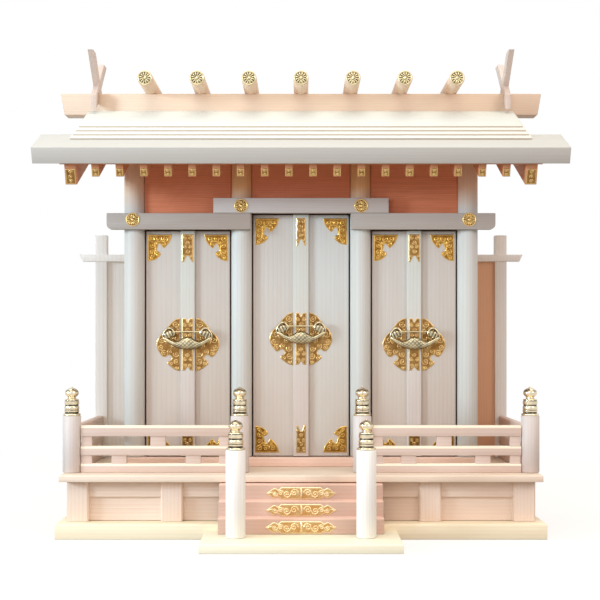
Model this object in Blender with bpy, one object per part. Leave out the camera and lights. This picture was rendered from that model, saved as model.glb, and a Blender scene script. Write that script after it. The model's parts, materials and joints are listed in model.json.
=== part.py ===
"""A three-door household shrine of plain cypress with gilt brass finials and locks.

One straight gabled roof covers three doorways. A veranda with railings runs round
the hall, and three steps lead up to it between two pairs of posts. Every size below
is in metres. X runs to the right, Y to the back and Z up, and the origin is on the
ground in the middle plane, under the front of the hall.
"""

import math

import bmesh
import bpy
from mathutils import Vector

# Clearances
FIT_GAP = 0.0003
DOOR_GAP = 0.001
LAP_GAP = 0.0004

# Base slab and stair plate
SLAB_HALF_WIDTH = 0.2735
SLAB_FRONT_Y = -0.104
SLAB_BACK_Y = 0.136
SLAB_HEIGHT = 0.017
PLATE_HALF_WIDTH = 0.1065
PLATE_FRONT_Y = -0.198
PLATE_HEIGHT = 0.010
BOARD_EDGE = 0.0008

# Plinth under the veranda
PLINTH_POST = 0.0245
PLINTH_SIDE_MARGIN = 0.00975
PLINTH_CORNER_X = SLAB_HALF_WIDTH - PLINTH_SIDE_MARGIN - PLINTH_POST / 2
PLINTH_BAY = 0.106
PLINTH_INNER_X = PLINTH_CORNER_X - PLINTH_BAY
PLINTH_MARGIN = 0.019
PLINTH_HEIGHT = 0.0456
PLINTH_RAIL_HEIGHT = 0.0182
PLINTH_RAIL_SETBACK = 0.005
PLINTH_PANEL_SETBACK = 0.0095
PLINTH_PANEL_THICKNESS = 0.006
PLINTH_POST_CHAMFER = 0.0015

# Veranda board
VERANDA_SIDE_SETBACK = 0.0035
VERANDA_END_SETBACK = 0.005
VERANDA_HALF_WIDTH = SLAB_HALF_WIDTH - VERANDA_SIDE_SETBACK
VERANDA_FRONT_Y = SLAB_FRONT_Y + VERANDA_END_SETBACK
VERANDA_BACK_Y = SLAB_BACK_Y - VERANDA_END_SETBACK
VERANDA_THICKNESS = 0.008
VERANDA_ROUNDING = 0.0025

# Steps up to the veranda
STEP_HALF_WIDTH = 0.0905
STEP_COUNT = 3
STEP_RISE = 0.0173
STEP_TREAD = 0.0105
STEP_TOP_REACH = 0.007

# Turned posts and their finials
STAIR_POST_X = 0.070
STAIR_POST_SETBACK = 0.044
STAIR_POST_Y = PLATE_FRONT_Y + STAIR_POST_SETBACK
STAIR_POST_RADIUS = 0.0107
STAIR_POST_HEIGHT = 0.0936
RAIL_POST_RADIUS = 0.0104
RAIL_POST_HEIGHT = 0.0642
RAIL_LINE_SETBACK = 0.027
RAIL_LINE_Y = VERANDA_FRONT_Y + RAIL_LINE_SETBACK
LANDING_POST_X = 0.0695
CORNER_POST_SETBACK = 0.010
CORNER_POST_X = VERANDA_HALF_WIDTH - CORNER_POST_SETBACK
POST_TOP_CHAMFER = 0.001
POST_SIDES = 32
FINIAL_HEIGHT = 0.0333
FINIAL_FLANGE_RADIUS = 0.0100
FINIAL_BARREL_RADIUS = 0.0082
FINIAL_GROOVE_DEPTH = 0.0009
FINIAL_NECK_RADIUS = 0.0032
FINIAL_BULB_RADIUS = 0.0076
FINIAL_SIDES = 16

# Railings
RAIL_DEPTH = 0.009
RAIL_TOP_ROUNDING = 0.0028
RAIL_LOW = (0.0, 0.0104)
RAIL_MIDDLE = (0.0195, 0.0300)
RAIL_HIGH = (0.0412, 0.0533)
RAIL_BLOCK_DEPTH = 0.007
RAIL_BLOCK_TENON = 0.002
RAIL_STRUT_WIDTH = 0.017
RAIL_END_BLOCK = 0.0125
SIDE_RAIL_INSET = 0.003
SIDE_RAIL_X = CORNER_POST_X - SIDE_RAIL_INSET
FRONT_RAIL_SPAN = CORNER_POST_X - LANDING_POST_X
FRONT_UPPER_STRUTS = (LANDING_POST_X + 0.4856 * FRONT_RAIL_SPAN,)
FRONT_LOWER_STRUTS = (LANDING_POST_X + 0.2756 * FRONT_RAIL_SPAN,
                      LANDING_POST_X + 0.7165 * FRONT_RAIL_SPAN)
SIDE_UPPER_STRUTS = (0.024,)
SIDE_LOWER_STRUTS = (-0.018, 0.066)

# Wing screens at the back of the veranda
WING_POST = 0.0144
WING_POST_SIDE_SETBACK = 0.0145
WING_POST_END_SETBACK = 0.022
WING_POST_X = VERANDA_HALF_WIDTH - WING_POST_SIDE_SETBACK
WING_POST_FRONT_Y = VERANDA_BACK_Y - WING_POST_END_SETBACK
WING_POST_HEIGHT = 0.2838
WING_RAIL_TOP = 0.2590
WING_RAIL_DEPTH = 0.0086
WING_RAIL_THICKNESS = 0.010
WING_RAIL_OVERHANG = 0.0275
WING_RAIL_END_X = WING_POST_X + WING_RAIL_OVERHANG
WING_RAIL_END_SLANT = 0.004
WING_PANEL_THICKNESS = 0.004
WING_PANEL_SETBACK = 0.005

# Hall
COLUMN_OUTER_SETBACK = 0.071
COLUMN_OUTER_X = VERANDA_HALF_WIDTH - COLUMN_OUTER_SETBACK
HALL_WALL_REACH = 0.006
HALL_WALL_X = COLUMN_OUTER_X + HALL_WALL_REACH
HALL_WALL_THICKNESS = 0.006
HALL_BACK_Y = 0.110
SILL_REACH = 0.013
SILL_HALF_WIDTH = COLUMN_OUTER_X + SILL_REACH
SILL_HEIGHT = 0.0106
SILL_FRONT_Y = -0.007
SILL_BACK_Y = 0.020
COLUMN_RADIUS = 0.01225
COLUMN_INNER_X = 0.071
COLUMN_Y = 0.006
LINTEL_FRONT_Y = -0.012
LINTEL_BACK_Y = -0.002
LINTEL_EDGE = 0.0008
SIDE_LINTEL_RISE = 0.2704
SIDE_LINTEL_HEIGHT = 0.0191
SIDE_LINTEL_INNER_X = 0.0585
SIDE_LINTEL_REACH = 0.031
SIDE_LINTEL_OUTER_X = COLUMN_OUTER_X + SIDE_LINTEL_REACH
SIDE_LINTEL_NOSE = 0.006
CENTRE_LINTEL_HEIGHT = 0.0176
CENTRE_LINTEL_HALF = 0.1037
TRANSOM_THICKNESS = 0.008
TRANSOM_LIFT = 0.0008

# Doors
LEAF_THICKNESS = 0.005
LEAF_AXIS_Y = 0.0065
LEAF_MEETING_GAP = 0.0005
STRIP_THICKNESS = 0.0045
CENTRE_STRIP_WIDTH = 0.0185
SIDE_STRIP_WIDTH = 0.017
STRIP_EDGE = 0.0006
PIVOT_RADIUS = 0.001
PIVOT_HOLE_RADIUS = 0.00115
PIVOT_DEPTH = 0.0035
PIVOT_SIDES = 16

# Crescent locks on the meeting strips
LOCK_HALF_LENGTH = 0.0288
LOCK_HALF_HEIGHT = 0.0077
LOCK_HALF_DEPTH = 0.0038
LOCK_TIP_SHARE = 0.25
LOCK_SAG = 0.0055
LOCK_STANDOFF = 0.0012
LOCK_CENTRE_RISE = 0.1422
LOCK_SIDE_RISE = 0.1354
LOCK_SECTIONS = 13
LOCK_SIDES = 10
LOCK_STUD_RADIUS = 0.0022

# Roof
ROOF_SLOPE = math.radians(23.0)
RIDGE_Y = 0.047
EAVE_Y = -0.104
EAVE_TOP_Z = 0.4352
EAVE_DEPTH = 0.060
BACK_EAVE_REACH = 0.008
BACK_EAVE_Y = HALL_BACK_Y + BACK_EAVE_REACH
BACK_EAVE_DEPTH = 0.030
ROOF_REACH = 0.0635
ROOF_HALF_WIDTH = COLUMN_OUTER_X + ROOF_REACH
EAVE_REACH = 0.0375
EAVE_HALF_WIDTH = ROOF_HALF_WIDTH + EAVE_REACH
ROOF_THICKNESS = 0.0185
LAYER_COUNT = 4
LAYER_THICKNESS = 0.0015
LAYER_FIRST = 0.0358
BACK_LAYER_FIRST = 0.012
LAYER_STEP = 0.0131
LAYER_SIDE_STEP = 0.0015
SOFFIT_THICKNESS = 0.003
SOFFIT_REACH = 0.0088
SOFFIT_HALF_WIDTH = ROOF_HALF_WIDTH + SOFFIT_REACH
RAFTER_WIDTH = 0.0085
RAFTER_HEIGHT = 0.0139
RAFTER_PAIRS = 9
RAFTER_SIDE_SPACE = 0.0041
RAFTER_PITCH = (ROOF_HALF_WIDTH - RAFTER_SIDE_SPACE) / (RAFTER_PAIRS + 0.5)
RAFTER_FRONT = 0.0095
VERGE_WIDTH = 0.0130
VERGE_HEIGHT = 0.0261
VERGE_REACH = 0.0033
VERGE_OUTER_X = ROOF_HALF_WIDTH + VERGE_REACH

# Ridge beam, ridge logs and crossed boards
RIDGE_HALF_DEPTH = 0.012
RIDGE_RISE = 0.0607
RIDGE_BOTTOM_Z = EAVE_TOP_Z + RIDGE_RISE
RIDGE_HEIGHT = 0.026
RIDGE_REACH = 0.0305
RIDGE_HALF_LENGTH = ROOF_HALF_WIDTH + RIDGE_REACH
RIDGE_END_SLANT = 0.0045
LOG_RADIUS = 0.009
LOG_HALF_LENGTH = 0.065
LOG_PITCH = 0.0613
LOG_PAIRS = 3
LOG_SEAT = 0.0008
LOG_SIDES = 24
CHIGI_SETBACK = 0.04275
CHIGI_X = RIDGE_HALF_LENGTH - CHIGI_SETBACK
CHIGI_THICKNESS = 0.0067
CHIGI_WIDTH = 0.0132
CHIGI_ANGLE = math.radians(40.0)
CHIGI_CROSSING_RISE = 0.0096
CHIGI_TOP_RISE = 0.0449
CHIGI_FOOT_REACH = 0.027

# Heights and places that follow from the sizes above
PLINTH_BOTTOM_Z = SLAB_HEIGHT + FIT_GAP
PLINTH_TOP_Z = PLINTH_BOTTOM_Z + PLINTH_HEIGHT
VERANDA_BOTTOM_Z = PLINTH_TOP_Z + FIT_GAP
VERANDA_TOP_Z = VERANDA_BOTTOM_Z + VERANDA_THICKNESS
DECK_Z = VERANDA_TOP_Z + FIT_GAP
SILL_TOP_Z = DECK_Z + SILL_HEIGHT
COLUMN_BOTTOM_Z = SILL_TOP_Z + FIT_GAP
SIDE_LINTEL_Z = SILL_TOP_Z + SIDE_LINTEL_RISE
CENTRE_LINTEL_Z = SIDE_LINTEL_Z + SIDE_LINTEL_HEIGHT + FIT_GAP
RIDGE_TOP_Z = RIDGE_BOTTOM_Z + RIDGE_HEIGHT
LEAF_RADIUS = LEAF_THICKNESS / 2

# Colours: base colour, roughness, metallic
WOOD = ("cypress", (0.84, 0.72, 0.62), 0.55, 0.0)
WOOD_DARK = ("cypress_shaded", (0.66, 0.42, 0.31), 0.6, 0.0)
WOOD_DOOR = ("cypress_door", (0.80, 0.74, 0.68), 0.5, 0.0)
BRASS = ("gilt_brass", (0.83, 0.62, 0.22), 0.28, 1.0)


def clear_scene():
    """Remove every object so that the model starts from nothing."""
    for obj in list(bpy.data.objects):
        bpy.data.objects.remove(obj, do_unlink=True)


def make_object(name, bm, finish, smooth_angle=None):
    """Turn a bmesh into a named object with its own material."""
    bmesh.ops.recalc_face_normals(bm, faces=bm.faces)
    mesh = bpy.data.meshes.new(name)
    bm.to_mesh(mesh)
    bm.free()
    obj = bpy.data.objects.new(name, mesh)
    bpy.context.scene.collection.objects.link(obj)
    give_material(obj, finish)
    if smooth_angle is not None:
        mesh.shade_smooth()
        mesh.set_sharp_from_angle(angle=smooth_angle)
    return obj


def give_material(obj, finish):
    """Give an object its own Principled material."""
    label, colour, roughness, metallic = finish
    material = bpy.data.materials.new(f"{obj.name}_{label}")
    material.use_nodes = True
    shader = material.node_tree.nodes["Principled BSDF"]
    shader.inputs["Base Color"].default_value = (*colour, 1.0)
    shader.inputs["Roughness"].default_value = roughness
    shader.inputs["Metallic"].default_value = metallic
    obj.data.materials.clear()
    obj.data.materials.append(material)


def add_box(bm, low, high):
    """Add an upright box between two corners and return its vertices."""
    size = Vector(high) - Vector(low)
    centre = (Vector(high) + Vector(low)) / 2
    made = bmesh.ops.create_cube(bm, size=1.0)
    bmesh.ops.scale(bm, vec=size, verts=made["verts"])
    bmesh.ops.translate(bm, vec=centre, verts=made["verts"])
    return made["verts"]


def add_prism(bm, outline, place, start, end):
    """Extrude a flat outline from start to end; place turns (u, v, w) into a point."""
    low = [bm.verts.new(place(u, v, start)) for u, v in outline]
    high = [bm.verts.new(place(u, v, end)) for u, v in outline]
    bm.faces.new(low)
    bm.faces.new(list(reversed(high)))
    count = len(outline)
    for i in range(count):
        j = (i + 1) % count
        bm.faces.new((low[j], low[i], high[i], high[j]))
    return low + high


def along_x(u, v, w):
    """Outline in the Y-Z plane, extruded along X."""
    return Vector((w, u, v))


def along_y(u, v, w):
    """Outline in the X-Z plane, extruded along Y."""
    return Vector((u, w, v))


def along_z(u, v, w):
    """Outline in the X-Y plane, extruded along Z."""
    return Vector((u, v, w))


def add_turning(bm, profile, centre, sides):
    """Turn a profile of (radius, height) pairs about an upright axis at centre."""
    rings = []
    for radius, height in profile:
        ring = []
        for i in range(sides):
            angle = 2 * math.pi * i / sides
            x = centre[0] + radius * math.cos(angle)
            y = centre[1] + radius * math.sin(angle)
            ring.append(bm.verts.new((x, y, height)))
        rings.append(ring)
    bm.faces.new(list(reversed(rings[0])))
    bm.faces.new(rings[-1])
    for lower, upper in zip(rings, rings[1:]):
        for i in range(sides):
            j = (i + 1) % sides
            bm.faces.new((lower[i], lower[j], upper[j], upper[i]))
    return rings


def bevel_edges(bm, chosen, width, segments):
    """Round the edges that the test picks out."""
    edges = [edge for edge in bm.edges if chosen(edge)]
    bmesh.ops.bevel(bm, geom=edges, offset=width, segments=segments, profile=0.5,
                    affect="EDGES", clamp_overlap=True)


def lies_at_height(height):
    """Test for edges that lie level at one height."""
    def chosen(edge):
        return all(abs(vert.co.z - height) < 1e-6 for vert in edge.verts)
    return chosen


def combine(base, others, operation):
    """Join others to base, or cut them from it, and drop the spent pieces."""
    for other in others:
        modifier = base.modifiers.new(operation.lower(), "BOOLEAN")
        modifier.operation = operation
        modifier.solver = "EXACT"
        modifier.object = other
    graph = bpy.context.evaluated_depsgraph_get()
    graph.update()
    result = bpy.data.meshes.new_from_object(base.evaluated_get(graph))
    base.modifiers.clear()
    old = base.data
    material = old.materials[0]
    result.materials.clear()
    result.materials.append(material)
    base.data = result
    result.name = base.name
    bpy.data.meshes.remove(old)
    for other in others:
        bpy.data.objects.remove(other, do_unlink=True)
    return base


def loose_box(low, high, finish=WOOD):
    """Make a box that another piece is joined to or cut by."""
    bm = bmesh.new()
    add_box(bm, low, high)
    return make_object("loose", bm, finish)


def loose_turning(profile, centre, sides, finish=WOOD):
    """Make a turned piece that another piece is joined to or cut by."""
    bm = bmesh.new()
    add_turning(bm, profile, centre, sides)
    return make_object("loose", bm, finish)


def slope_point(run, depth):
    """Front slope of the roof: run up from the eave, depth below the board's top."""
    y = EAVE_Y + run * math.cos(ROOF_SLOPE) + depth * math.sin(ROOF_SLOPE)
    z = EAVE_TOP_Z + run * math.sin(ROOF_SLOPE) - depth * math.cos(ROOF_SLOPE)
    return y, z


def slope_height(y, depth):
    """Height of the surface at a depth below the roof's top, on either slope."""
    front_y = RIDGE_Y - abs(y - RIDGE_Y)
    return (EAVE_TOP_Z + (front_y - EAVE_Y) * math.tan(ROOF_SLOPE)
            - depth / math.cos(ROOF_SLOPE))


def soffit_depth():
    """Depth of the soffit's underside below the roof's top."""
    return ROOF_THICKNESS + FIT_GAP + SOFFIT_THICKNESS


def rafter_depth():
    """Depth of the rafters' underside below the roof's top."""
    return soffit_depth() + RAFTER_HEIGHT


def mirror_back(outline):
    """Mirror a front slope's outline about the ridge."""
    return [(2 * RIDGE_Y - y, z) for y, z in outline]


def side_name(side):
    """Name of the left (-1) or right (+1) side."""
    return "left" if side < 0 else "right"


def build_base():
    """Slab under the whole shrine and the plate that carries the steps."""
    bm = bmesh.new()
    add_box(bm, (-SLAB_HALF_WIDTH, SLAB_FRONT_Y, 0.0), (SLAB_HALF_WIDTH, SLAB_BACK_Y, SLAB_HEIGHT))
    bevel_edges(bm, lies_at_height(SLAB_HEIGHT), BOARD_EDGE, 1)
    make_object("base_slab", bm, WOOD)
    bm = bmesh.new()
    add_box(bm, (-PLATE_HALF_WIDTH, PLATE_FRONT_Y, 0.0),
            (PLATE_HALF_WIDTH, SLAB_FRONT_Y - FIT_GAP, PLATE_HEIGHT))
    bevel_edges(bm, lies_at_height(PLATE_HEIGHT), BOARD_EDGE, 1)
    make_object("stair_plate", bm, WOOD)


def plinth_section(face, inward):
    """Section of a plinth side: a sunk panel under a rail that stands proud of it."""
    rail = face + inward * PLINTH_RAIL_SETBACK
    panel = face + inward * PLINTH_PANEL_SETBACK
    back = panel + inward * PLINTH_PANEL_THICKNESS
    rail_z = PLINTH_TOP_Z - PLINTH_RAIL_HEIGHT
    return [(panel, PLINTH_BOTTOM_Z + FIT_GAP), (panel, rail_z), (rail, rail_z),
            (rail, PLINTH_TOP_Z - FIT_GAP), (back, PLINTH_TOP_Z - FIT_GAP),
            (back, PLINTH_BOTTOM_Z + FIT_GAP)]


def plinth_post(x, y):
    """Square plinth post with chamfered corners, centred at x, y."""
    bm = bmesh.new()
    half = PLINTH_POST / 2
    cut = PLINTH_POST_CHAMFER
    outline = [(x - half + cut, y - half), (x + half - cut, y - half),
               (x + half, y - half + cut), (x + half, y + half - cut),
               (x + half - cut, y + half), (x - half + cut, y + half),
               (x - half, y + half - cut), (x - half, y - half + cut)]
    add_prism(bm, outline, along_z, PLINTH_BOTTOM_Z, PLINTH_TOP_Z)
    return make_object("loose", bm, WOOD)


def build_plinth():
    """Four sides of the plinth, with the posts on the front and back ones."""
    half = PLINTH_POST / 2
    front_face = SLAB_FRONT_Y + PLINTH_MARGIN
    back_face = SLAB_BACK_Y - PLINTH_MARGIN
    reach = PLINTH_CORNER_X + half - BOARD_EDGE
    sides = (("plinth_front", front_face, 1, (PLINTH_CORNER_X, PLINTH_INNER_X)),
             ("plinth_back", back_face, -1, (PLINTH_CORNER_X,)))
    for name, face, inward, places in sides:
        bm = bmesh.new()
        add_prism(bm, plinth_section(face, inward), along_x, -reach, reach)
        board = make_object(name, bm, WOOD)
        posts = [plinth_post(side * x, face + inward * half) for x in places for side in (-1, 1)]
        combine(board, posts, "UNION")
    start = front_face + PLINTH_POST + FIT_GAP
    end = back_face - PLINTH_POST - FIT_GAP
    for side in (-1, 1):
        bm = bmesh.new()
        face = side * (PLINTH_CORNER_X + half)
        add_prism(bm, plinth_section(face, -side), along_y, start, end)
        make_object(f"plinth_{side_name(side)}", bm, WOOD)


def build_veranda():
    """Veranda board with rounded upper edges."""
    bm = bmesh.new()
    add_box(bm, (-VERANDA_HALF_WIDTH, VERANDA_FRONT_Y, VERANDA_BOTTOM_Z),
            (VERANDA_HALF_WIDTH, VERANDA_BACK_Y, VERANDA_TOP_Z))
    bevel_edges(bm, lies_at_height(VERANDA_TOP_Z), VERANDA_ROUNDING, 3)
    make_object("veranda_floor", bm, WOOD, math.radians(50))


def build_stairs():
    """Three solid steps, notched over the base slab's front edge."""
    bm = bmesh.new()
    back_y = SLAB_FRONT_Y + PLINTH_MARGIN - FIT_GAP
    bottom = PLATE_HEIGHT + FIT_GAP
    top = bottom + STEP_COUNT * STEP_RISE
    front = SLAB_FRONT_Y - STEP_TOP_REACH - (STEP_COUNT - 1) * STEP_TREAD
    outline = [(front, bottom)]
    for i in range(STEP_COUNT):
        y = front + i * STEP_TREAD
        z = bottom + (i + 1) * STEP_RISE
        outline.append((y, z))
        if i < STEP_COUNT - 1:
            outline.append((y + STEP_TREAD, z))
    outline += [(back_y, top), (back_y, PLINTH_BOTTOM_Z),
                (SLAB_FRONT_Y - FIT_GAP, PLINTH_BOTTOM_Z), (SLAB_FRONT_Y - FIT_GAP, bottom)]
    add_prism(bm, outline, along_x, -STEP_HALF_WIDTH, STEP_HALF_WIDTH)
    noses = [(front + i * STEP_TREAD, bottom + (i + 1) * STEP_RISE) for i in range(STEP_COUNT)]

    def is_nose(edge):
        for y, z in noses:
            if all((vert.co.yz - Vector((y, z))).length < 1e-6 for vert in edge.verts):
                return True
        return False

    bevel_edges(bm, is_nose, BOARD_EDGE, 1)
    make_object("stairs", bm, WOOD)


def build_post(name, centre, radius, bottom, height):
    """Turned post with a small chamfer at its top."""
    bm = bmesh.new()
    top = bottom + height
    profile = [(radius, bottom), (radius, top - POST_TOP_CHAMFER), (radius - POST_TOP_CHAMFER, top)]
    add_turning(bm, profile, centre, POST_SIDES)
    make_object(name, bm, WOOD, math.radians(30))


def finial_profile(bottom):
    """Flange, grooved barrel, shoulder, neck and onion bulb with its point."""
    flange = FINIAL_FLANGE_RADIUS
    barrel = FINIAL_BARREL_RADIUS
    groove = barrel - FINIAL_GROOVE_DEPTH
    neck = FINIAL_NECK_RADIUS
    bulb = FINIAL_BULB_RADIUS
    unit = FINIAL_HEIGHT
    shape = [(flange * 0.95, 0.0), (flange, 0.03), (flange, 0.10), (barrel, 0.13), (barrel, 0.28),
             (groove, 0.31), (groove, 0.35), (barrel, 0.38), (barrel, 0.53), (flange * 0.92, 0.57),
             (barrel * 0.93, 0.62), (neck * 1.5, 0.67), (neck, 0.70)]
    for i in range(1, 7):
        angle = math.pi * i / 7
        radius = bulb * math.sin(angle) ** 0.8
        shape.append((radius, 0.70 + 0.26 * (1 - math.cos(angle)) / 2))
    shape.append((0.0006, 1.0))
    return [(radius, bottom + unit * share) for radius, share in shape]


def build_posts():
    """Six turned posts, each with a finial."""
    plate_z = PLATE_HEIGHT + FIT_GAP
    kinds = (("stair", STAIR_POST_X, STAIR_POST_Y, STAIR_POST_RADIUS, plate_z, STAIR_POST_HEIGHT),
             ("landing", LANDING_POST_X, RAIL_LINE_Y, RAIL_POST_RADIUS, DECK_Z, RAIL_POST_HEIGHT),
             ("corner", CORNER_POST_X, RAIL_LINE_Y, RAIL_POST_RADIUS, DECK_Z, RAIL_POST_HEIGHT))
    for kind, x, y, radius, bottom, height in kinds:
        for side in (-1, 1):
            centre = (side * x, y)
            build_post(f"{kind}_post_{side_name(side)}", centre, radius, bottom, height)
            bm = bmesh.new()
            add_turning(bm, finial_profile(bottom + height + FIT_GAP), centre, FINIAL_SIDES)
            make_object(f"{kind}_finial_{side_name(side)}", bm, BRASS, math.radians(40))


def rail_bar(place, start, end, centre, levels, name="loose"):
    """One rail with rounded upper edges, between start and end."""
    bm = bmesh.new()
    half = RAIL_DEPTH / 2
    low = DECK_Z + levels[0]
    high = DECK_Z + levels[1]
    cut = RAIL_TOP_ROUNDING
    outline = [(centre - half, low), (centre + half, low), (centre + half, high - cut)]
    for i in range(1, 4):
        angle = math.pi / 2 * i / 3
        outline.append((centre + half - cut + cut * math.cos(angle), high - cut + cut * math.sin(angle)))
    for i in range(3):
        angle = math.pi / 2 * (1 + i / 3)
        outline.append((centre - half + cut + cut * math.cos(angle), high - cut + cut * math.sin(angle)))
    outline.append((centre - half, high - cut))
    add_prism(bm, outline, place, start, end)
    return make_object(name, bm, WOOD, math.radians(40))


def rail_blocks(place, start, end, centre, upper, lower):
    """Blocks between the rails: one at each end and the struts given."""
    blocks = []
    half = RAIL_BLOCK_DEPTH / 2
    rows = ((RAIL_LOW[1], RAIL_MIDDLE[0], lower), (RAIL_MIDDLE[1], RAIL_HIGH[0], upper))
    inset = BOARD_EDGE
    for bottom, top, struts in rows:
        spans = [(start + inset, start + RAIL_END_BLOCK), (end - RAIL_END_BLOCK, end - inset)]
        spans += [(spot - RAIL_STRUT_WIDTH / 2, spot + RAIL_STRUT_WIDTH / 2) for spot in struts]
        for low_w, high_w in spans:
            bm = bmesh.new()
            low_z = DECK_Z + bottom - RAIL_BLOCK_TENON - RAIL_TOP_ROUNDING
            high_z = DECK_Z + top + RAIL_BLOCK_TENON
            outline = [(centre - half, low_z), (centre + half, low_z),
                       (centre + half, high_z), (centre - half, high_z)]
            add_prism(bm, outline, place, low_w, high_w)
            blocks.append(make_object("loose", bm, WOOD))
    return blocks


def build_railing(name, place, start, end, centre, upper, lower):
    """Three rails joined by their blocks."""
    low = rail_bar(place, start, end, centre, RAIL_LOW, name)
    others = [rail_bar(place, start, end, centre, levels) for levels in (RAIL_MIDDLE, RAIL_HIGH)]
    others += rail_blocks(place, start, end, centre, upper, lower)
    combine(low, others, "UNION")


def build_railings():
    """Railings along the front and the sides of the veranda."""
    reach = RAIL_POST_RADIUS + FIT_GAP
    for side in (-1, 1):
        ends = sorted((side * (LANDING_POST_X + reach), side * (CORNER_POST_X - reach)))
        upper = [side * x for x in FRONT_UPPER_STRUTS]
        lower = [side * x for x in FRONT_LOWER_STRUTS]
        build_railing(f"railing_front_{side_name(side)}", along_x, ends[0], ends[1],
                      RAIL_LINE_Y, upper, lower)
        build_railing(f"railing_side_{side_name(side)}", along_y, RAIL_LINE_Y + reach,
                      WING_POST_FRONT_Y - FIT_GAP, side * SIDE_RAIL_X,
                      SIDE_UPPER_STRUTS, SIDE_LOWER_STRUTS)


def build_wings():
    """Screens that close the veranda at the back: a post, a cap rail and a panel."""
    for side in (-1, 1):
        half = WING_POST / 2
        name = f"wing_screen_{side_name(side)}"
        post_back = WING_POST_FRONT_Y + WING_POST
        bm = bmesh.new()
        add_box(bm, (side * WING_POST_X - half, WING_POST_FRONT_Y, DECK_Z),
                (side * WING_POST_X + half, post_back, DECK_Z + WING_POST_HEIGHT))
        post = make_object(name, bm, WOOD)
        wall_x = HALL_WALL_X + FIT_GAP
        top = DECK_Z + WING_RAIL_TOP
        low = top - WING_RAIL_DEPTH
        outline = [(side * wall_x, low), (side * (WING_RAIL_END_X - WING_RAIL_END_SLANT), low),
                   (side * WING_RAIL_END_X, top), (side * wall_x, top)]
        bm = bmesh.new()
        rail_front = WING_POST_FRONT_Y - PLINTH_POST_CHAMFER
        add_prism(bm, outline, along_y, rail_front, rail_front + WING_RAIL_THICKNESS)
        rail = make_object("loose", bm, WOOD)
        panel_y = WING_POST_FRONT_Y + WING_PANEL_SETBACK
        ends = sorted((side * (wall_x + FIT_GAP), side * WING_POST_X))
        panel = loose_box((ends[0], panel_y, DECK_Z + FIT_GAP),
                          (ends[1], panel_y + WING_PANEL_THICKNESS, top - BOARD_EDGE))
        combine(post, [rail, panel], "UNION")


def build_column(name, x):
    """Round column whose top follows the rafters' underside."""
    bm = bmesh.new()
    profile = [(COLUMN_RADIUS, COLUMN_BOTTOM_Z), (COLUMN_RADIUS, EAVE_TOP_Z)]
    rings = add_turning(bm, profile, (x, COLUMN_Y), POST_SIDES)
    for vert in rings[-1]:
        vert.co.z = slope_height(vert.co.y, rafter_depth() + FIT_GAP)
    make_object(name, bm, WOOD, math.radians(30))


def pivot_holes(doors, top_z):
    """Cutters for the pivot holes of the given doors, reaching down from top_z."""
    cutters = []
    for door in doors:
        for side in (-1, 1):
            x = door["x"] + side * door["axis"]
            depth = PIVOT_DEPTH + FIT_GAP
            profile = [(PIVOT_HOLE_RADIUS, top_z - depth), (PIVOT_HOLE_RADIUS, top_z + depth)]
            cutters.append(loose_turning(profile, (x, LEAF_AXIS_Y), PIVOT_SIDES))
    return cutters


def door_table():
    """Place, half opening and heights of the three doors."""
    centre_half = COLUMN_INNER_X - COLUMN_RADIUS
    side_half = (COLUMN_OUTER_X - COLUMN_INNER_X) / 2 - COLUMN_RADIUS
    side_x = (COLUMN_OUTER_X + COLUMN_INNER_X) / 2
    doors = []
    for label, x in (("left", -side_x), ("centre", 0.0), ("right", side_x)):
        middle = label == "centre"
        half = centre_half if middle else side_half
        lintel = CENTRE_LINTEL_Z if middle else SIDE_LINTEL_Z
        doors.append({"name": label, "x": x, "half": half, "lintel": lintel,
                      "axis": half - DOOR_GAP - LEAF_RADIUS,
                      "strip": CENTRE_STRIP_WIDTH if middle else SIDE_STRIP_WIDTH,
                      "lock": LOCK_CENTRE_RISE if middle else LOCK_SIDE_RISE})
    return doors


def build_sill(doors):
    """Threshold under the columns, with a hole for each door pivot."""
    bm = bmesh.new()
    add_box(bm, (-SILL_HALF_WIDTH, SILL_FRONT_Y, DECK_Z), (SILL_HALF_WIDTH, SILL_BACK_Y, SILL_TOP_Z))
    bevel_edges(bm, lies_at_height(SILL_TOP_Z), BOARD_EDGE, 1)
    sill = make_object("door_sill", bm, WOOD)
    combine(sill, pivot_holes(doors, SILL_TOP_Z), "DIFFERENCE")


def notched_board(left, right, bottom, outer_y):
    """Front view of a board whose top is cut round the rafters, closed up to the soffit."""
    low_top = slope_height(outer_y, rafter_depth() + FIT_GAP)
    high_top = slope_height(outer_y, soffit_depth() + FIT_GAP)
    notch = RAFTER_WIDTH / 2 + FIT_GAP
    top = []
    for x in rafter_places():
        if x + notch <= left or x - notch >= right:
            continue
        if x - notch > left:
            top += [(x - notch, high_top), (x - notch, low_top)]
        if x + notch < right:
            top += [(x + notch, low_top), (x + notch, high_top)]
    return [(right, bottom), (left, bottom), (left, top[0][1])] + top + [(right, top[-1][1])]


def build_transoms(doors):
    """Boards over the doors, cut round the rafters, with holes for the upper pivots."""
    front = LEAF_AXIS_Y - TRANSOM_THICKNESS / 2
    for door in doors:
        left = door["x"] - door["half"] + FIT_GAP
        right = door["x"] + door["half"] - FIT_GAP
        bottom = door["lintel"] + TRANSOM_LIFT
        bm = bmesh.new()
        add_prism(bm, notched_board(left, right, bottom, front), along_y,
                  front, front + TRANSOM_THICKNESS)
        board = make_object(f"transom_{door['name']}", bm, WOOD_DARK)
        combine(board, pivot_holes([door], bottom), "DIFFERENCE")


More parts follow.
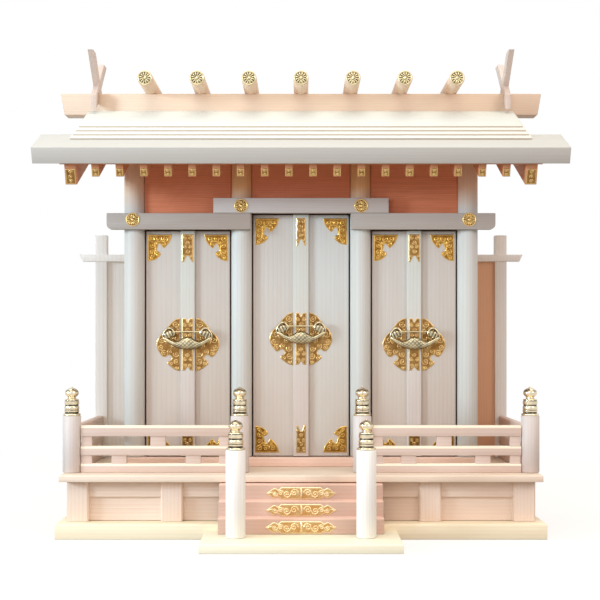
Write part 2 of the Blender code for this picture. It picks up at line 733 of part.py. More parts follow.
def lintel_outline(start, end, columns):
    """Plan of a lintel: a board with a round notch over each column."""
    radius = COLUMN_RADIUS + FIT_GAP
    reach = COLUMN_Y - LINTEL_BACK_Y
    spread = math.asin(math.sqrt(radius ** 2 - reach ** 2) / radius)
    outline = [(start, LINTEL_FRONT_Y), (end, LINTEL_FRONT_Y), (end, LINTEL_BACK_Y)]
    for x in sorted(columns, reverse=True):
        for i in range(9):
            angle = -math.pi / 2 + spread * (1 - i / 4)
            outline.append((x + radius * math.cos(angle), COLUMN_Y + radius * math.sin(angle)))
    outline.append((start, LINTEL_BACK_Y))
    return outline


def build_lintels():
    """Two side lintels under the ends of the centre one, all notched over the columns."""
    for side in (-1, 1):
        ends = sorted((side * SIDE_LINTEL_INNER_X, side * SIDE_LINTEL_OUTER_X))
        columns = [side * COLUMN_INNER_X, side * COLUMN_OUTER_X]
        bm = bmesh.new()
        add_prism(bm, lintel_outline(ends[0], ends[1], columns), along_z,
                  SIDE_LINTEL_Z, SIDE_LINTEL_Z + SIDE_LINTEL_HEIGHT)
        outer = side * SIDE_LINTEL_OUTER_X

        def is_nose(edge):
            return all(abs(vert.co.x - outer) < 1e-6 and abs(vert.co.z - SIDE_LINTEL_Z) < 1e-6
                       for vert in edge.verts)

        bevel_edges(bm, is_nose, SIDE_LINTEL_NOSE, 5)
        make_object(f"lintel_{side_name(side)}", bm, WOOD, math.radians(30))
    bm = bmesh.new()
    columns = [-COLUMN_INNER_X, COLUMN_INNER_X]
    add_prism(bm, lintel_outline(-CENTRE_LINTEL_HALF, CENTRE_LINTEL_HALF, columns), along_z,
              CENTRE_LINTEL_Z, CENTRE_LINTEL_Z + CENTRE_LINTEL_HEIGHT)
    make_object("lintel_centre", bm, WOOD, math.radians(30))


def build_hall():
    """Floor of the hall, side walls reaching up under the rafters and roof, and back wall."""
    wall_in = HALL_WALL_X - HALL_WALL_THICKNESS
    back_in = HALL_BACK_Y - HALL_WALL_THICKNESS
    bm = bmesh.new()
    add_box(bm, (FIT_GAP - wall_in, SILL_BACK_Y + FIT_GAP, DECK_Z),
            (wall_in - FIT_GAP, back_in - FIT_GAP, SILL_TOP_Z))
    make_object("hall_floor", bm, WOOD)
    low = rafter_depth() + FIT_GAP
    high = ROOF_THICKNESS + FIT_GAP
    front_y = SILL_BACK_Y + FIT_GAP
    step_y = RIDGE_Y + FIT_GAP
    outline = [(front_y, DECK_Z), (front_y, slope_height(front_y, low)),
               (RIDGE_Y, slope_height(RIDGE_Y, low)), (step_y, slope_height(step_y, low)),
               (step_y, slope_height(step_y, high)),
               (HALL_BACK_Y, slope_height(HALL_BACK_Y, high)), (HALL_BACK_Y, DECK_Z)]
    for side in (-1, 1):
        bm = bmesh.new()
        add_prism(bm, outline, along_x, side * wall_in, side * HALL_WALL_X)
        make_object(f"side_wall_{side_name(side)}", bm, WOOD)
    bm = bmesh.new()
    outline = [(back_in, DECK_Z), (back_in, slope_height(back_in, high)),
               (HALL_BACK_Y, slope_height(HALL_BACK_Y, high)), (HALL_BACK_Y, DECK_Z)]
    add_prism(bm, outline, along_x, FIT_GAP - wall_in, wall_in - FIT_GAP)
    make_object("back_wall", bm, WOOD)


def leaf_outline(door, side):
    """Plan of a leaf about its pivot: half-round hinge edge, and the strip on the left leaf."""
    front = -LEAF_RADIUS
    back = LEAF_RADIUS
    free = door["axis"] - LEAF_MEETING_GAP
    hinge = []
    for i in range(9):
        angle = math.pi / 2 + math.pi * i / 8
        hinge.append((LEAF_RADIUS * math.cos(angle), LEAF_RADIUS * math.sin(angle)))
    if side > 0:
        outline = hinge + [(free, front), (free, back)]
        return [(-x, y) for x, y in outline]
    half = door["strip"] / 2
    middle = door["axis"]
    strip_front = front - STRIP_THICKNESS
    lap = front - LAP_GAP
    return hinge + [(middle - half, front), (middle - half, strip_front + STRIP_EDGE),
                    (middle - half + STRIP_EDGE, strip_front), (middle + half - STRIP_EDGE, strip_front),
                    (middle + half, strip_front + STRIP_EDGE), (middle + half, lap),
                    (free, lap), (free, back)]


def build_leaf(door, side):
    """One door leaf with a pivot at its top and bottom, its origin on the pivot's axis."""
    bottom = SILL_TOP_Z + DOOR_GAP
    top = door["lintel"] - DOOR_GAP
    pin_low = SILL_TOP_Z - PIVOT_DEPTH
    pin_high = door["lintel"] + TRANSOM_LIFT + PIVOT_DEPTH
    bm = bmesh.new()
    add_prism(bm, leaf_outline(door, side), along_z, 0.0, top - bottom)
    name = f"door_{door['name']}_leaf_{side_name(side)}"
    leaf = make_object(name, bm, WOOD_DOOR, math.radians(30))
    pins = []
    for low, high in ((pin_low, bottom + PIVOT_DEPTH), (top - PIVOT_DEPTH, pin_high)):
        profile = [(PIVOT_RADIUS, low - bottom), (PIVOT_RADIUS, high - bottom)]
        pins.append(loose_turning(profile, (0.0, 0.0), PIVOT_SIDES))
    combine(leaf, pins, "UNION")
    leaf.location = (door["x"] + side * door["axis"], LEAF_AXIS_Y, bottom)
    return leaf


def build_lock(door, leaf):
    """Crescent lock across the meeting strip: an arc that thins towards turned-up tips."""
    bottom = SILL_TOP_Z + DOOR_GAP
    strip_front = -LEAF_RADIUS - STRIP_THICKNESS
    centre_y = strip_front - LOCK_STANDOFF - LOCK_HALF_DEPTH
    centre_z = SILL_TOP_Z + door["lock"] - bottom
    bm = bmesh.new()
    rings = []
    for i in range(LOCK_SECTIONS):
        share = 2 * i / (LOCK_SECTIONS - 1) - 1
        swell = LOCK_TIP_SHARE + (1 - LOCK_TIP_SHARE) * math.cos(share * math.pi / 2) ** 1.3
        x = door["axis"] + share * LOCK_HALF_LENGTH
        z = centre_z + LOCK_SAG * share ** 2
        ring = []
        for j in range(LOCK_SIDES):
            angle = 2 * math.pi * j / LOCK_SIDES
            y = centre_y + LOCK_HALF_DEPTH * swell * math.cos(angle)
            ring.append(bm.verts.new((x, y, z + LOCK_HALF_HEIGHT * swell * math.sin(angle))))
        rings.append(ring)
    bm.faces.new(rings[0])
    bm.faces.new(list(reversed(rings[-1])))
    for first, second in zip(rings, rings[1:]):
        for j in range(LOCK_SIDES):
            k = (j + 1) % LOCK_SIDES
            bm.faces.new((first[k], first[j], second[j], second[k]))
    lock = make_object(f"door_{door['name']}_lock", bm, BRASS, math.radians(40))
    bm = bmesh.new()
    outline = []
    for i in range(LOCK_SIDES):
        angle = 2 * math.pi * i / LOCK_SIDES
        outline.append((door["axis"] + LOCK_STUD_RADIUS * math.cos(angle),
                        centre_z + LOCK_STUD_RADIUS * math.sin(angle)))
    add_prism(bm, outline, along_y, centre_y, strip_front - FIT_GAP)
    stud = make_object("loose", bm, BRASS)
    combine(lock, [stud], "UNION")
    lock.parent = leaf


def build_doors(doors):
    """Two leaves for each doorway and a lock on each left leaf."""
    for door in doors:
        left_leaf = build_leaf(door, -1)
        build_leaf(door, 1)
        build_lock(door, left_leaf)


def rafter_places():
    """Middle of each small rafter, from left to right."""
    places = []
    for i in range(RAFTER_PAIRS):
        x = RAFTER_PITCH * (i + 0.5)
        places += [-x, x]
    return sorted(places)


def upright_cut(start, end, upper, lower):
    """Side view of a strip between two depths of the roof, cut upright at both ends."""
    return [(start, slope_height(start, upper)), (end, slope_height(end, upper)),
            (end, slope_height(end, lower)), (start, slope_height(start, lower))]


def eave_cut(run, end, upper, lower):
    """The same strip on the front slope, with its lower end square to the slope."""
    return [slope_point(run, upper), (end, slope_height(end, upper)),
            (end, slope_height(end, lower)), slope_point(run, lower)]


def add_bars(board, outline, spans):
    """Unite a board with bars that share one side view, each between its two sides."""
    bars = []
    for low, high in spans:
        bm = bmesh.new()
        add_prism(bm, outline, along_x, low, high)
        bars.append(make_object("loose", bm, WOOD))
    combine(board, bars, "UNION")


def build_rafters():
    """Front soffit with its rafters and verge rafters, and the ceiling behind the ridge."""
    upper = ROOF_THICKNESS + FIT_GAP
    bed = upper + SOFFIT_THICKNESS / 2
    half = RAFTER_WIDTH / 2
    end = RIDGE_Y - FIT_GAP / 2
    bm = bmesh.new()
    add_prism(bm, eave_cut(RAFTER_FRONT - BOARD_EDGE, end, upper, soffit_depth()), along_x,
              -SOFFIT_HALF_WIDTH, SOFFIT_HALF_WIDTH)
    front = make_object("rafters_front", bm, WOOD)
    bar_front = RAFTER_FRONT - 2 * BOARD_EDGE
    add_bars(front, eave_cut(bar_front, end - BOARD_EDGE, bed, rafter_depth()),
             [(x - half, x + half) for x in rafter_places()])
    add_bars(front, eave_cut(bar_front, end - BOARD_EDGE, bed, upper + VERGE_HEIGHT),
             [(-VERGE_OUTER_X, VERGE_WIDTH - VERGE_OUTER_X),
              (VERGE_OUTER_X - VERGE_WIDTH, VERGE_OUTER_X)])
    start = RIDGE_Y + FIT_GAP / 2
    end = HALL_BACK_Y - HALL_WALL_THICKNESS - FIT_GAP
    reach = HALL_WALL_X - HALL_WALL_THICKNESS - FIT_GAP
    bm = bmesh.new()
    add_prism(bm, upright_cut(start, end, upper, soffit_depth()), along_x, -reach, reach)
    back = make_object("rafters_back", bm, WOOD)
    add_bars(back, upright_cut(start + BOARD_EDGE, end - BOARD_EDGE, bed, rafter_depth()),
             [(x - half, x + half) for x in rafter_places() if abs(x) + half < reach])


def build_slope(label, turn, eave_run, eave_depth, layer_run):
    """Wide eave board of one slope and the stepped roof that laps over it."""
    joint = eave_run + eave_depth
    eave = [slope_point(eave_run, 0.0), slope_point(joint, 0.0),
            slope_point(joint, ROOF_THICKNESS), slope_point(eave_run, ROOF_THICKNESS)]
    bm = bmesh.new()
    add_prism(bm, turn(eave), along_x, -EAVE_HALF_WIDTH, EAVE_HALF_WIDTH)
    make_object(f"eave_board_{label}", bm, WOOD)
    beam_y = RIDGE_Y - RIDGE_HALF_DEPTH - FIT_GAP
    seat_z = RIDGE_BOTTOM_Z - FIT_GAP
    mitre = RIDGE_Y - FIT_GAP / 2
    joint += FIT_GAP
    roof = [slope_point(layer_run, -FIT_GAP), slope_point(layer_run, -LAYER_THICKNESS),
            (beam_y, slope_height(beam_y, -LAYER_THICKNESS)), (beam_y, seat_z), (mitre, seat_z),
            (mitre, slope_height(mitre, ROOF_THICKNESS)),
            slope_point(joint, ROOF_THICKNESS), slope_point(joint, -FIT_GAP)]
    bm = bmesh.new()
    add_prism(bm, turn(roof), along_x, -ROOF_HALF_WIDTH, ROOF_HALF_WIDTH)
    board = make_object(f"roof_{label}", bm, WOOD)
    layers = []
    for i in range(1, LAYER_COUNT):
        run = layer_run + i * LAYER_STEP
        top = -(i + 1) * LAYER_THICKNESS
        outline = eave_cut(run, beam_y, top, top + 1.5 * LAYER_THICKNESS)
        half_width = ROOF_HALF_WIDTH - i * LAYER_SIDE_STEP
        bm = bmesh.new()
        add_prism(bm, turn(outline), along_x, -half_width, half_width)
        layers.append(make_object("loose", bm, WOOD))
    combine(board, layers, "UNION")


def build_roof():
    """Deep front slope, and a back slope that ends just behind the hall."""
    build_slope("front", list, 0.0, EAVE_DEPTH, LAYER_FIRST)
    back_run = (2 * RIDGE_Y - BACK_EAVE_Y - EAVE_Y) / math.cos(ROOF_SLOPE)
    build_slope("back", mirror_back, back_run, BACK_EAVE_DEPTH, back_run + BACK_LAYER_FIRST)


def build_ridge():
    """Ridge beam with slanting ends, and the round logs laid across it."""
    bottom_half = RIDGE_HALF_LENGTH - RIDGE_END_SLANT
    outline = [(-bottom_half, RIDGE_BOTTOM_Z), (bottom_half, RIDGE_BOTTOM_Z),
               (RIDGE_HALF_LENGTH, RIDGE_TOP_Z), (-RIDGE_HALF_LENGTH, RIDGE_TOP_Z)]
    bm = bmesh.new()
    add_prism(bm, outline, along_y, RIDGE_Y - RIDGE_HALF_DEPTH, RIDGE_Y + RIDGE_HALF_DEPTH)
    beam = make_object("ridge_beam", bm, WOOD)
    logs = []
    centre_z = RIDGE_TOP_Z + LOG_RADIUS - LOG_SEAT
    for i in range(-LOG_PAIRS, LOG_PAIRS + 1):
        circle = []
        for j in range(LOG_SIDES):
            angle = 2 * math.pi * (j + 0.5) / LOG_SIDES
            circle.append((i * LOG_PITCH + LOG_RADIUS * math.cos(angle),
                           centre_z + LOG_RADIUS * math.sin(angle)))
        bm = bmesh.new()
        add_prism(bm, circle, along_y, RIDGE_Y - LOG_HALF_LENGTH, RIDGE_Y + LOG_HALF_LENGTH)
        logs.append(make_object("loose", bm, WOOD))
    combine(beam, logs, "UNION")
    beam.data.shade_smooth()
    beam.data.set_sharp_from_angle(angle=math.radians(30))


def chigi_outline():
    """Crossed boards seen from the side: level tips, upright feet, notched over the beam."""
    lean = math.tan(CHIGI_ANGLE)
    half_rise = CHIGI_WIDTH / 2 / math.cos(CHIGI_ANGLE)
    half_run = CHIGI_WIDTH / 2 / math.sin(CHIGI_ANGLE)
    cross_z = RIDGE_TOP_Z + CHIGI_CROSSING_RISE
    top_z = RIDGE_TOP_Z + CHIGI_TOP_RISE
    tip = (top_z - cross_z) / lean
    foot = CHIGI_FOOT_REACH
    foot_z = cross_z - foot * lean
    notch_y = RIDGE_HALF_DEPTH + FIT_GAP
    notch_z = RIDGE_TOP_Z + FIT_GAP
    crotch = cross_z - half_rise
    half = [(0.0, cross_z + half_rise), (tip - half_run, top_z), (tip + half_run, top_z),
            (half_run, cross_z), (foot, foot_z + half_rise), (foot, foot_z - half_rise),
            (notch_y, crotch - notch_y * lean), (notch_y, notch_z)]
    if crotch > notch_z:
        half += [((crotch - notch_z) / lean, notch_z), (0.0, crotch)]
    else:
        half += [(0.0, notch_z)]
    mirrored = [(-y, z) for y, z in half[-2:0:-1]]
    return [(RIDGE_Y + y, z) for y, z in half + mirrored]


def build_chigi():
    """A pair of crossed boards near each end of the ridge."""
    for side in (-1, 1):
        bm = bmesh.new()
        low = side * CHIGI_X - CHIGI_THICKNESS / 2
        add_prism(bm, chigi_outline(), along_x, low, low + CHIGI_THICKNESS)
        make_object(f"chigi_{side_name(side)}", bm, WOOD)


def main():
    """Build the whole shrine from the ground up."""
    clear_scene()
    doors = door_table()
    build_base()
    build_plinth()
    build_veranda()
    build_stairs()
    build_posts()
    build_railings()
    build_wings()
    build_sill(doors)
    for side in (-1, 1):
        build_column(f"column_inner_{side_name(side)}", side * COLUMN_INNER_X)
        build_column(f"column_outer_{side_name(side)}", side * COLUMN_OUTER_X)
    build_hall()
    build_transoms(doors)
    build_lintels()
    build_doors(doors)
    build_rafters()
    build_roof()
    build_ridge()
    build_chigi()


main()
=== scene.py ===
"""A three-door household shrine of plain cypress, dressed for its picture.

Lengths are in metres. X runs to the viewer's right, Y away from the viewer and Z up, as in
the solids. Each new piece takes its place from the box of the solid that it sits on.
"""

import json
import logging
import math
from collections.abc import Callable
from dataclasses import dataclass, field, replace
from enum import Enum

import bmesh
import bpy
import numpy as np
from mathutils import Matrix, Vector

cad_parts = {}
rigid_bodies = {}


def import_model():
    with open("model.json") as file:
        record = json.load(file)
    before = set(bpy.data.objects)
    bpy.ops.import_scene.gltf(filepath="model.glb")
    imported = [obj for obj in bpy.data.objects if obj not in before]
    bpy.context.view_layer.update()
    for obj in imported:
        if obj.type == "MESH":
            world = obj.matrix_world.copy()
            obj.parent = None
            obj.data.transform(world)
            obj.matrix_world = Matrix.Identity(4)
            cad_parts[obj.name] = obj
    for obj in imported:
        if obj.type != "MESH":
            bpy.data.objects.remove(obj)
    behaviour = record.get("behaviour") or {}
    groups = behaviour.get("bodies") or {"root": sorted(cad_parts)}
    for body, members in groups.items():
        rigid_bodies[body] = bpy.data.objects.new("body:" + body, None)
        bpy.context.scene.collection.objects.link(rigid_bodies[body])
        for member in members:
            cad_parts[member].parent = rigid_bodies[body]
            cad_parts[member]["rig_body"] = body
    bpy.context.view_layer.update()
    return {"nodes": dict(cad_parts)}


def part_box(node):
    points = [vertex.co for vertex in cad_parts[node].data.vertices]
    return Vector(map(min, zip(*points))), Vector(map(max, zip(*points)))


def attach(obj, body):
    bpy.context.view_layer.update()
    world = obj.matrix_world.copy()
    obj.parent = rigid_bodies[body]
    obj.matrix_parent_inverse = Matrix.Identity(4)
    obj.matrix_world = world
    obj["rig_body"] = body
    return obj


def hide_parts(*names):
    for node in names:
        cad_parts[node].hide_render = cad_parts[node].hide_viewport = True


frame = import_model()

LOG = logging.getLogger("shrine")
MM = 0.001


class Grain(Enum):
    """The axis along which a timber's fibres run."""

    ALONG_X = 0
    ALONG_Y = 1
    ALONG_Z = 2


class Side(Enum):
    """Left or right of the middle, with its sign along X."""

    LEFT = -1
    RIGHT = 1


class Doorway(Enum):
    """The three doorways, named as their leaves are."""

    LEFT = "left"
    CENTRE = "centre"
    RIGHT = "right"


# Reading the solids


@dataclass(frozen=True)
class Box:
    """The box of one solid, from its lowest to its highest corner."""

    low: np.ndarray
    high: np.ndarray

    @classmethod
    def of(cls, node: str) -> "Box":
        """Gives the box of the solid with that name."""
        low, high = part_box(node)
        return cls(np.array(low), np.array(high))

    @property
    def middle(self) -> np.ndarray:
        """Gives the box's middle point."""
        return (self.low + self.high) / 2

    @property
    def size(self) -> np.ndarray:
        """Gives the box's three lengths."""
        return self.high - self.low


def body_of(node: str) -> str:
    """Gives the name of the body that a solid moves with."""
    return frame["nodes"][node]["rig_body"]


def corners_of(node: str) -> np.ndarray:
    """Gives the solid's corners as rows of X, Y and Z."""
    source = frame["nodes"][node].data
    coords = np.empty(len(source.vertices) * 3)
    source.vertices.foreach_get("co", coords)
    return coords.reshape(-1, 3)


def groups_of(values: np.ndarray, gap: float) -> list[np.ndarray]:
    """Splits values into runs that lie closer together than the gap."""
    ordered = np.unique(np.round(values, 5))
    return np.split(ordered, np.where(np.diff(ordered) > gap)[0] + 1)


# Materials


class Graph:
    """Adds and joins the shader nodes of one material."""

    def __init__(self, name: str, tree: bpy.types.NodeTree | None = None) -> None:
        """Starts an empty material of that name, or works on the given tree."""
        self.material = None if tree else bpy.data.materials.new(name)
        if self.material:
            self.material.use_nodes = True
            self.material.node_tree.nodes.clear()
        self.tree = tree or self.material.node_tree

    def add(self, kind: str, inputs: dict | None = None, **settings: object) -> bpy.types.Node:
        """Adds a node.

        Args:
            kind: The node's type name.
            inputs: Values, or sockets to join, by the input's name or number.
            **settings: The node's own options.

        Returns:
            The new node.
        """
        node = self.tree.nodes.new(kind)
        for option, value in settings.items():
            setattr(node, option, value)
        for key, value in (inputs or {}).items():
            if isinstance(value, bpy.types.NodeSocket):
                self.tree.links.new(value, node.inputs[key])
            else:
                node.inputs[key].default_value = value
        return node

    def blend(self, share: object, first: object, second: object) -> bpy.types.NodeSocket:
        """Mixes two colours by a share and gives the mixed colour."""
        node = self.add("ShaderNodeMix", {0: share, 6: first, 7: second}, data_type="RGBA")
        return node.outputs[2]

    def math(self, operation: str, first: object, second: object,
             clamp: bool = False) -> bpy.types.NodeSocket:
        """Does a sum on two values and gives its result."""
        node = self.add("ShaderNodeMath", {0: first, 1: second}, operation=operation, use_clamp=clamp)
        return node.outputs[0]

    def noise(self, place: bpy.types.NodeSocket, scale: float, detail: float,
              rough: float = 0.5) -> bpy.types.NodeSocket:
        """Gives a cloud of values at a place."""
        return self.add("ShaderNodeTexNoise", {
            "Vector": place, "Scale": scale, "Detail": detail, "Roughness": rough}).outputs["Fac"]

    def rescale(self, value: bpy.types.NodeSocket, source: tuple, target: tuple) -> bpy.types.NodeSocket:
        """Maps a value from one range to another, and no further."""
        limits = {"Value": value, "From Min": source[0], "From Max": source[1],
                  "To Min": target[0], "To Max": target[1]}
        return self.add("ShaderNodeMapRange", limits).outputs[0]

    def finish(self, surface: bpy.types.NodeSocket) -> bpy.types.Material:
        """Joins the surface to the output and gives the material."""
        self.add("ShaderNodeOutputMaterial", {"Surface": surface})
        return self.material


Colour = tuple[float, float, float, float]


def from_screen(red: int, green: int, blue: int) -> Colour:
    """Gives the linear colour of a screen colour whose channels run from 0 to 255."""
    channels = np.array([red, green, blue]) / 255
    low = channels / 12.92
    high = ((channels + 0.055) / 1.055) ** 2.4
    return (*np.where(channels <= 0.04045, low, high).tolist(), 1.0)


@dataclass(frozen=True)
class WoodFinish:
    """Planed, unpainted wood with straight growth rings, fine fibres and slow changes of tone, and painted
    light and shade near its foot and head.
    """

    name: str
    early: Colour
    late_share: tuple = (0.80, 0.68, 0.57)
    blush_share: tuple = (0.955, 0.875, 0.82)
    ring_pitch: float = 3.2 * MM
    ring_strength: float = 0.36
    fibre_strength: float = 0.26
    blush_strength: float = 0.5
    roughness: float = 0.55
    stretch: float = 0.045
    fibre_scale: float = 1000.0
    streak_scale: float = 130.0
    patch_scale: float = 8.0
    bump_strength: float = 0.18
    bump_depth: float = 0.12 * MM
    # Painted light and shade by height: below the foot heights the colour is multiplied by a share for warm
    # light bounced up off the veranda, above the head heights by a share for the light under the eaves.
    foot_painted_light: tuple = (1.0, 1.0, 1.0)
    foot_painted_light_heights: tuple = (0.16, 0.29)
    head_painted_light: tuple = (1.0, 1.0, 1.0)
    head_painted_light_heights: tuple = (0.375, 0.405)

    def shaded(self, shares: tuple) -> Colour:
        """Gives the early wood's colour with each channel multiplied by its share."""
        return tuple(value * share for value, share in zip(self.early, (*shares, 1.0)))

    def material(self, grain: Grain, plank: int) -> bpy.types.Material:
        """Makes the finish for one way of the grain and one plank.

        Args:
            grain: The axis that the fibres follow.
            plank: A number that picks where in the log the plank was sawn.

        Returns:
            The material, made once for each grain and plank.
        """
        name = f"{self.name}_{grain.name.lower()}_{plank}"
        if name in bpy.data.materials:
            return bpy.data.materials[name]
        graph = Graph(name)
        coords = graph.add("ShaderNodeTexCoord").outputs["Object"]
        shift = np.array([0.83 + 0.171 * plank, 0.67 + 0.133 * plank, 0.71 + 0.093 * plank])

        def placed(squeeze: float) -> bpy.types.NodeSocket:
            scale = [1.0, 1.0, 1.0]
            scale[grain.value] = squeeze
            turn = [0.0, 0.0, 0.0]
            turn[(grain.value + 1) % 3] = 0.012 * (plank % 3 - 1)
            return graph.add("ShaderNodeMapping", {"Vector": coords, "Location": shift.tolist(),
                                                   "Rotation": turn, "Scale": scale}).outputs[0]

        log_axis = "XYZ"[grain.value]
        along = placed(self.stretch)
        rings = graph.add("ShaderNodeTexWave", {
            "Vector": along, "Scale": 0.314 / self.ring_pitch, "Distortion": 9.0, "Detail": 2.0,
            "Detail Scale": 0.16, "Detail Roughness": 0.55},
            wave_type="RINGS", rings_direction=log_axis, wave_profile="SAW").outputs["Fac"]
        ring_line = graph.math("POWER", rings, 3.0)
        fibre = graph.noise(placed(self.stretch / 2), self.fibre_scale, 3.0, 0.6)
        streak = graph.noise(placed(self.stretch / 2), self.streak_scale, 4.0, 0.65)
        patch = graph.noise(placed(0.35), self.patch_scale, 2.0)

        late, blush = self.shaded(self.late_share), self.shaded(self.blush_share)
        ring_mix = graph.math("MULTIPLY", ring_line, self.ring_strength)
        tone = graph.blend(ring_mix, self.early, late)
        fibre_share = graph.rescale(fibre, (0.42, 0.72), (0.0, 1.0))
        tone = graph.blend(graph.math("MULTIPLY", fibre_share, self.fibre_strength), tone, late)
        for cloud in (streak, patch):
            share = graph.rescale(cloud, (0.38, 0.7), (0.0, 1.0))
            tone = graph.blend(graph.math("MULTIPLY", share, self.blush_strength), tone, blush)

        level = graph.add("ShaderNodeSeparateXYZ", {0: coords}).outputs["Z"]
        # Painted light and shade: towards each end the colour blends into itself times that end's share.
        for shares, heights, ends in ((self.foot_painted_light, self.foot_painted_light_heights, (1.0, 0.0)),
                                      (self.head_painted_light, self.head_painted_light_heights, (0.0, 1.0))):
            if shares != (1.0, 1.0, 1.0):
                warm = graph.add("ShaderNodeVectorMath", {0: tone, 1: shares}, operation="MULTIPLY")
                tone = graph.blend(graph.rescale(level, heights, ends), tone, warm.outputs["Vector"])

        height = graph.math("ADD", fibre, graph.math("MULTIPLY", rings, 0.5))
        bump = graph.add("ShaderNodeBump", {
            "Height": height, "Strength": self.bump_strength, "Distance": self.bump_depth})
        shine = graph.rescale(fibre, (0.3, 0.7), (self.roughness - 0.07, self.roughness + 0.07))
        surface = graph.add("ShaderNodeBsdfPrincipled", {
            "Base Color": tone, "Roughness": shine, "Specular IOR Level": 0.3,
            "Normal": bump.outputs[0]})
        return graph.finish(surface.outputs[0])


@dataclass(frozen=True)
class GiltFinish:
    """Gilt brass: bright on the raised work, ring-punched in the sunk ground, which takes a dark tone of
    patina and painted shade.
    """

    name: str
    bright: Colour
    patina_and_shade: Colour
    roughness: float = 0.24
    ground_pitch: float = 0.55 * MM
    cloud_scale: float = 160.0
    fine_scale: float = 900.0
    bump_strength: float = 0.35
    bump_depth: float = 0.2 * MM

    def material(self) -> bpy.types.Material:
        """Makes the finish, or gives it where it is made already."""
        if self.name in bpy.data.materials:
            return bpy.data.materials[self.name]
        graph = Graph(self.name)
        coords = graph.add("ShaderNodeTexCoord").outputs["Object"]
        recess = graph.add("ShaderNodeAttribute", attribute_name="recess").outputs["Fac"]
        cloud = graph.noise(coords, self.cloud_scale, 3.0)
        fine = graph.noise(coords, self.fine_scale, 2.0)
        punch = graph.add("ShaderNodeTexVoronoi", {"Vector": coords, "Scale": 1.0 / self.ground_pitch,
                                                   "Randomness": 0.35}).outputs["Distance"]
        # The sunk ground takes the dark tone: patina, and in the near-black brasses also painted shade and
        # dark reflection.
        worn_and_shaded = graph.math("MULTIPLY", recess, graph.rescale(cloud, (0.3, 0.7), (0.65, 1.0)), clamp=True)
        tone = graph.blend(graph.rescale(cloud, (0.35, 0.75), (0.0, 0.22)), self.bright, self.patina_and_shade)
        tone = graph.blend(worn_and_shaded, tone, self.patina_and_shade)
        dots = graph.math("MULTIPLY", punch, recess)
        height = graph.math("ADD", graph.math("MULTIPLY", dots, 1.4), graph.math("MULTIPLY", fine, 0.35))
        bump = graph.add("ShaderNodeBump", {
            "Height": height, "Strength": self.bump_strength, "Distance": self.bump_depth})
        shine = graph.rescale(fine, (0.3, 0.7), (self.roughness - 0.05, self.roughness + 0.09))
        surface = graph.add("ShaderNodeBsdfPrincipled", {
            "Base Color": tone, "Metallic": 1.0, "Roughness": shine, "Normal": bump.outputs[0]})
        return graph.finish(surface.outputs[0])


# Painted shade: the columns' heads turn warm and darker where they stand in the shade under the eaves.
COLUMN_WOOD = WoodFinish("column_wood", from_screen(213, 216, 212), fibre_strength=0.18,
                         head_painted_light=(1.45, 0.9, 0.46))
OUTER_COLUMN_WOOD = replace(COLUMN_WOOD, name="outer_column_wood", head_painted_light=(1.45, 1.06, 0.8))
CORNER_POST_WOOD = WoodFinish("corner_post_wood", from_screen(214, 205, 200), fibre_strength=0.18)
STAIR_POST_WOOD = WoodFinish("stair_post_wood", from_screen(240, 239, 235), fibre_strength=0.15)
RIDGE_WOOD = WoodFinish("ridge_wood", from_screen(227, 203, 180), ring_pitch=2.4 * MM)
BOARD_WOOD = WoodFinish("board_wood", from_screen(214, 218, 213), ring_pitch=2.6 * MM, ring_strength=0.2,
                        fibre_strength=0.16)
ROOF_WOOD = WoodFinish("roof_wood", from_screen(197, 196, 191), ring_pitch=2.6 * MM, ring_strength=0.22,
                       fibre_strength=0.18)
# Painted shade on the front edges of the roof's layers.
SHADED_RISER_WOOD = WoodFinish("riser_wood", from_screen(190, 174, 156))
LINTEL_WOOD = WoodFinish("lintel_wood", from_screen(204, 201, 198), ring_pitch=2.6 * MM, ring_strength=0.28)
SIDE_LINTEL_WOOD = replace(LINTEL_WOOD, name="side_lintel_wood", early=from_screen(182, 176, 169))
# Painted shade: the rafters carry the warm shade under the eaves in their colour.
SHADED_RAFTER_WOOD = WoodFinish("rafter_wood", from_screen(214, 150, 110))
# Painted light: the leaves turn warmer towards their feet, where light bounces up off the veranda.
DOOR_WOOD = WoodFinish("door_wood", from_screen(202, 198, 191), ring_pitch=4.2 * MM, ring_strength=0.34,
                       foot_painted_light=(0.98, 0.91, 0.87))
PALE_DOOR_WOOD = replace(DOOR_WOOD, name="pale_door_wood", early=from_screen(207, 212, 210),
                         foot_painted_light=(0.97, 0.88, 0.82))
# Painted shade: the dark gap round each leaf is painted on its rim.
GAP_SHADE_WOOD = WoodFinish("edge_wood", from_screen(84, 56, 42))
# Painted light: the meeting strips also turn warmer towards their feet, from light bounced off the veranda.
STRIP_WOOD = WoodFinish("strip_wood", from_screen(209, 214, 207), fibre_strength=0.15,
                        foot_painted_light=(1.02, 0.88, 0.88))
# Painted shade: the transoms carry the deep red-brown shade under the eaves in their colour, and painted
# light lightens their tops.
SHADED_TRANSOM_WOOD = WoodFinish("transom_wood", from_screen(232, 146, 106), late_share=(0.66, 0.56, 0.5),
                          ring_pitch=2.0 * MM, ring_strength=0.6, fibre_strength=0.75,
                          head_painted_light=(1.15, 1.4, 1.5), head_painted_light_heights=(0.412, 0.434))
WING_WOOD = WoodFinish("wing_wood", from_screen(238, 235, 230))
SHADED_WOOD = WoodFinish("shaded_wood", from_screen(234, 185, 151))
RAIL_WOOD = WoodFinish("rail_wood", from_screen(213, 192, 179), fibre_strength=0.2)
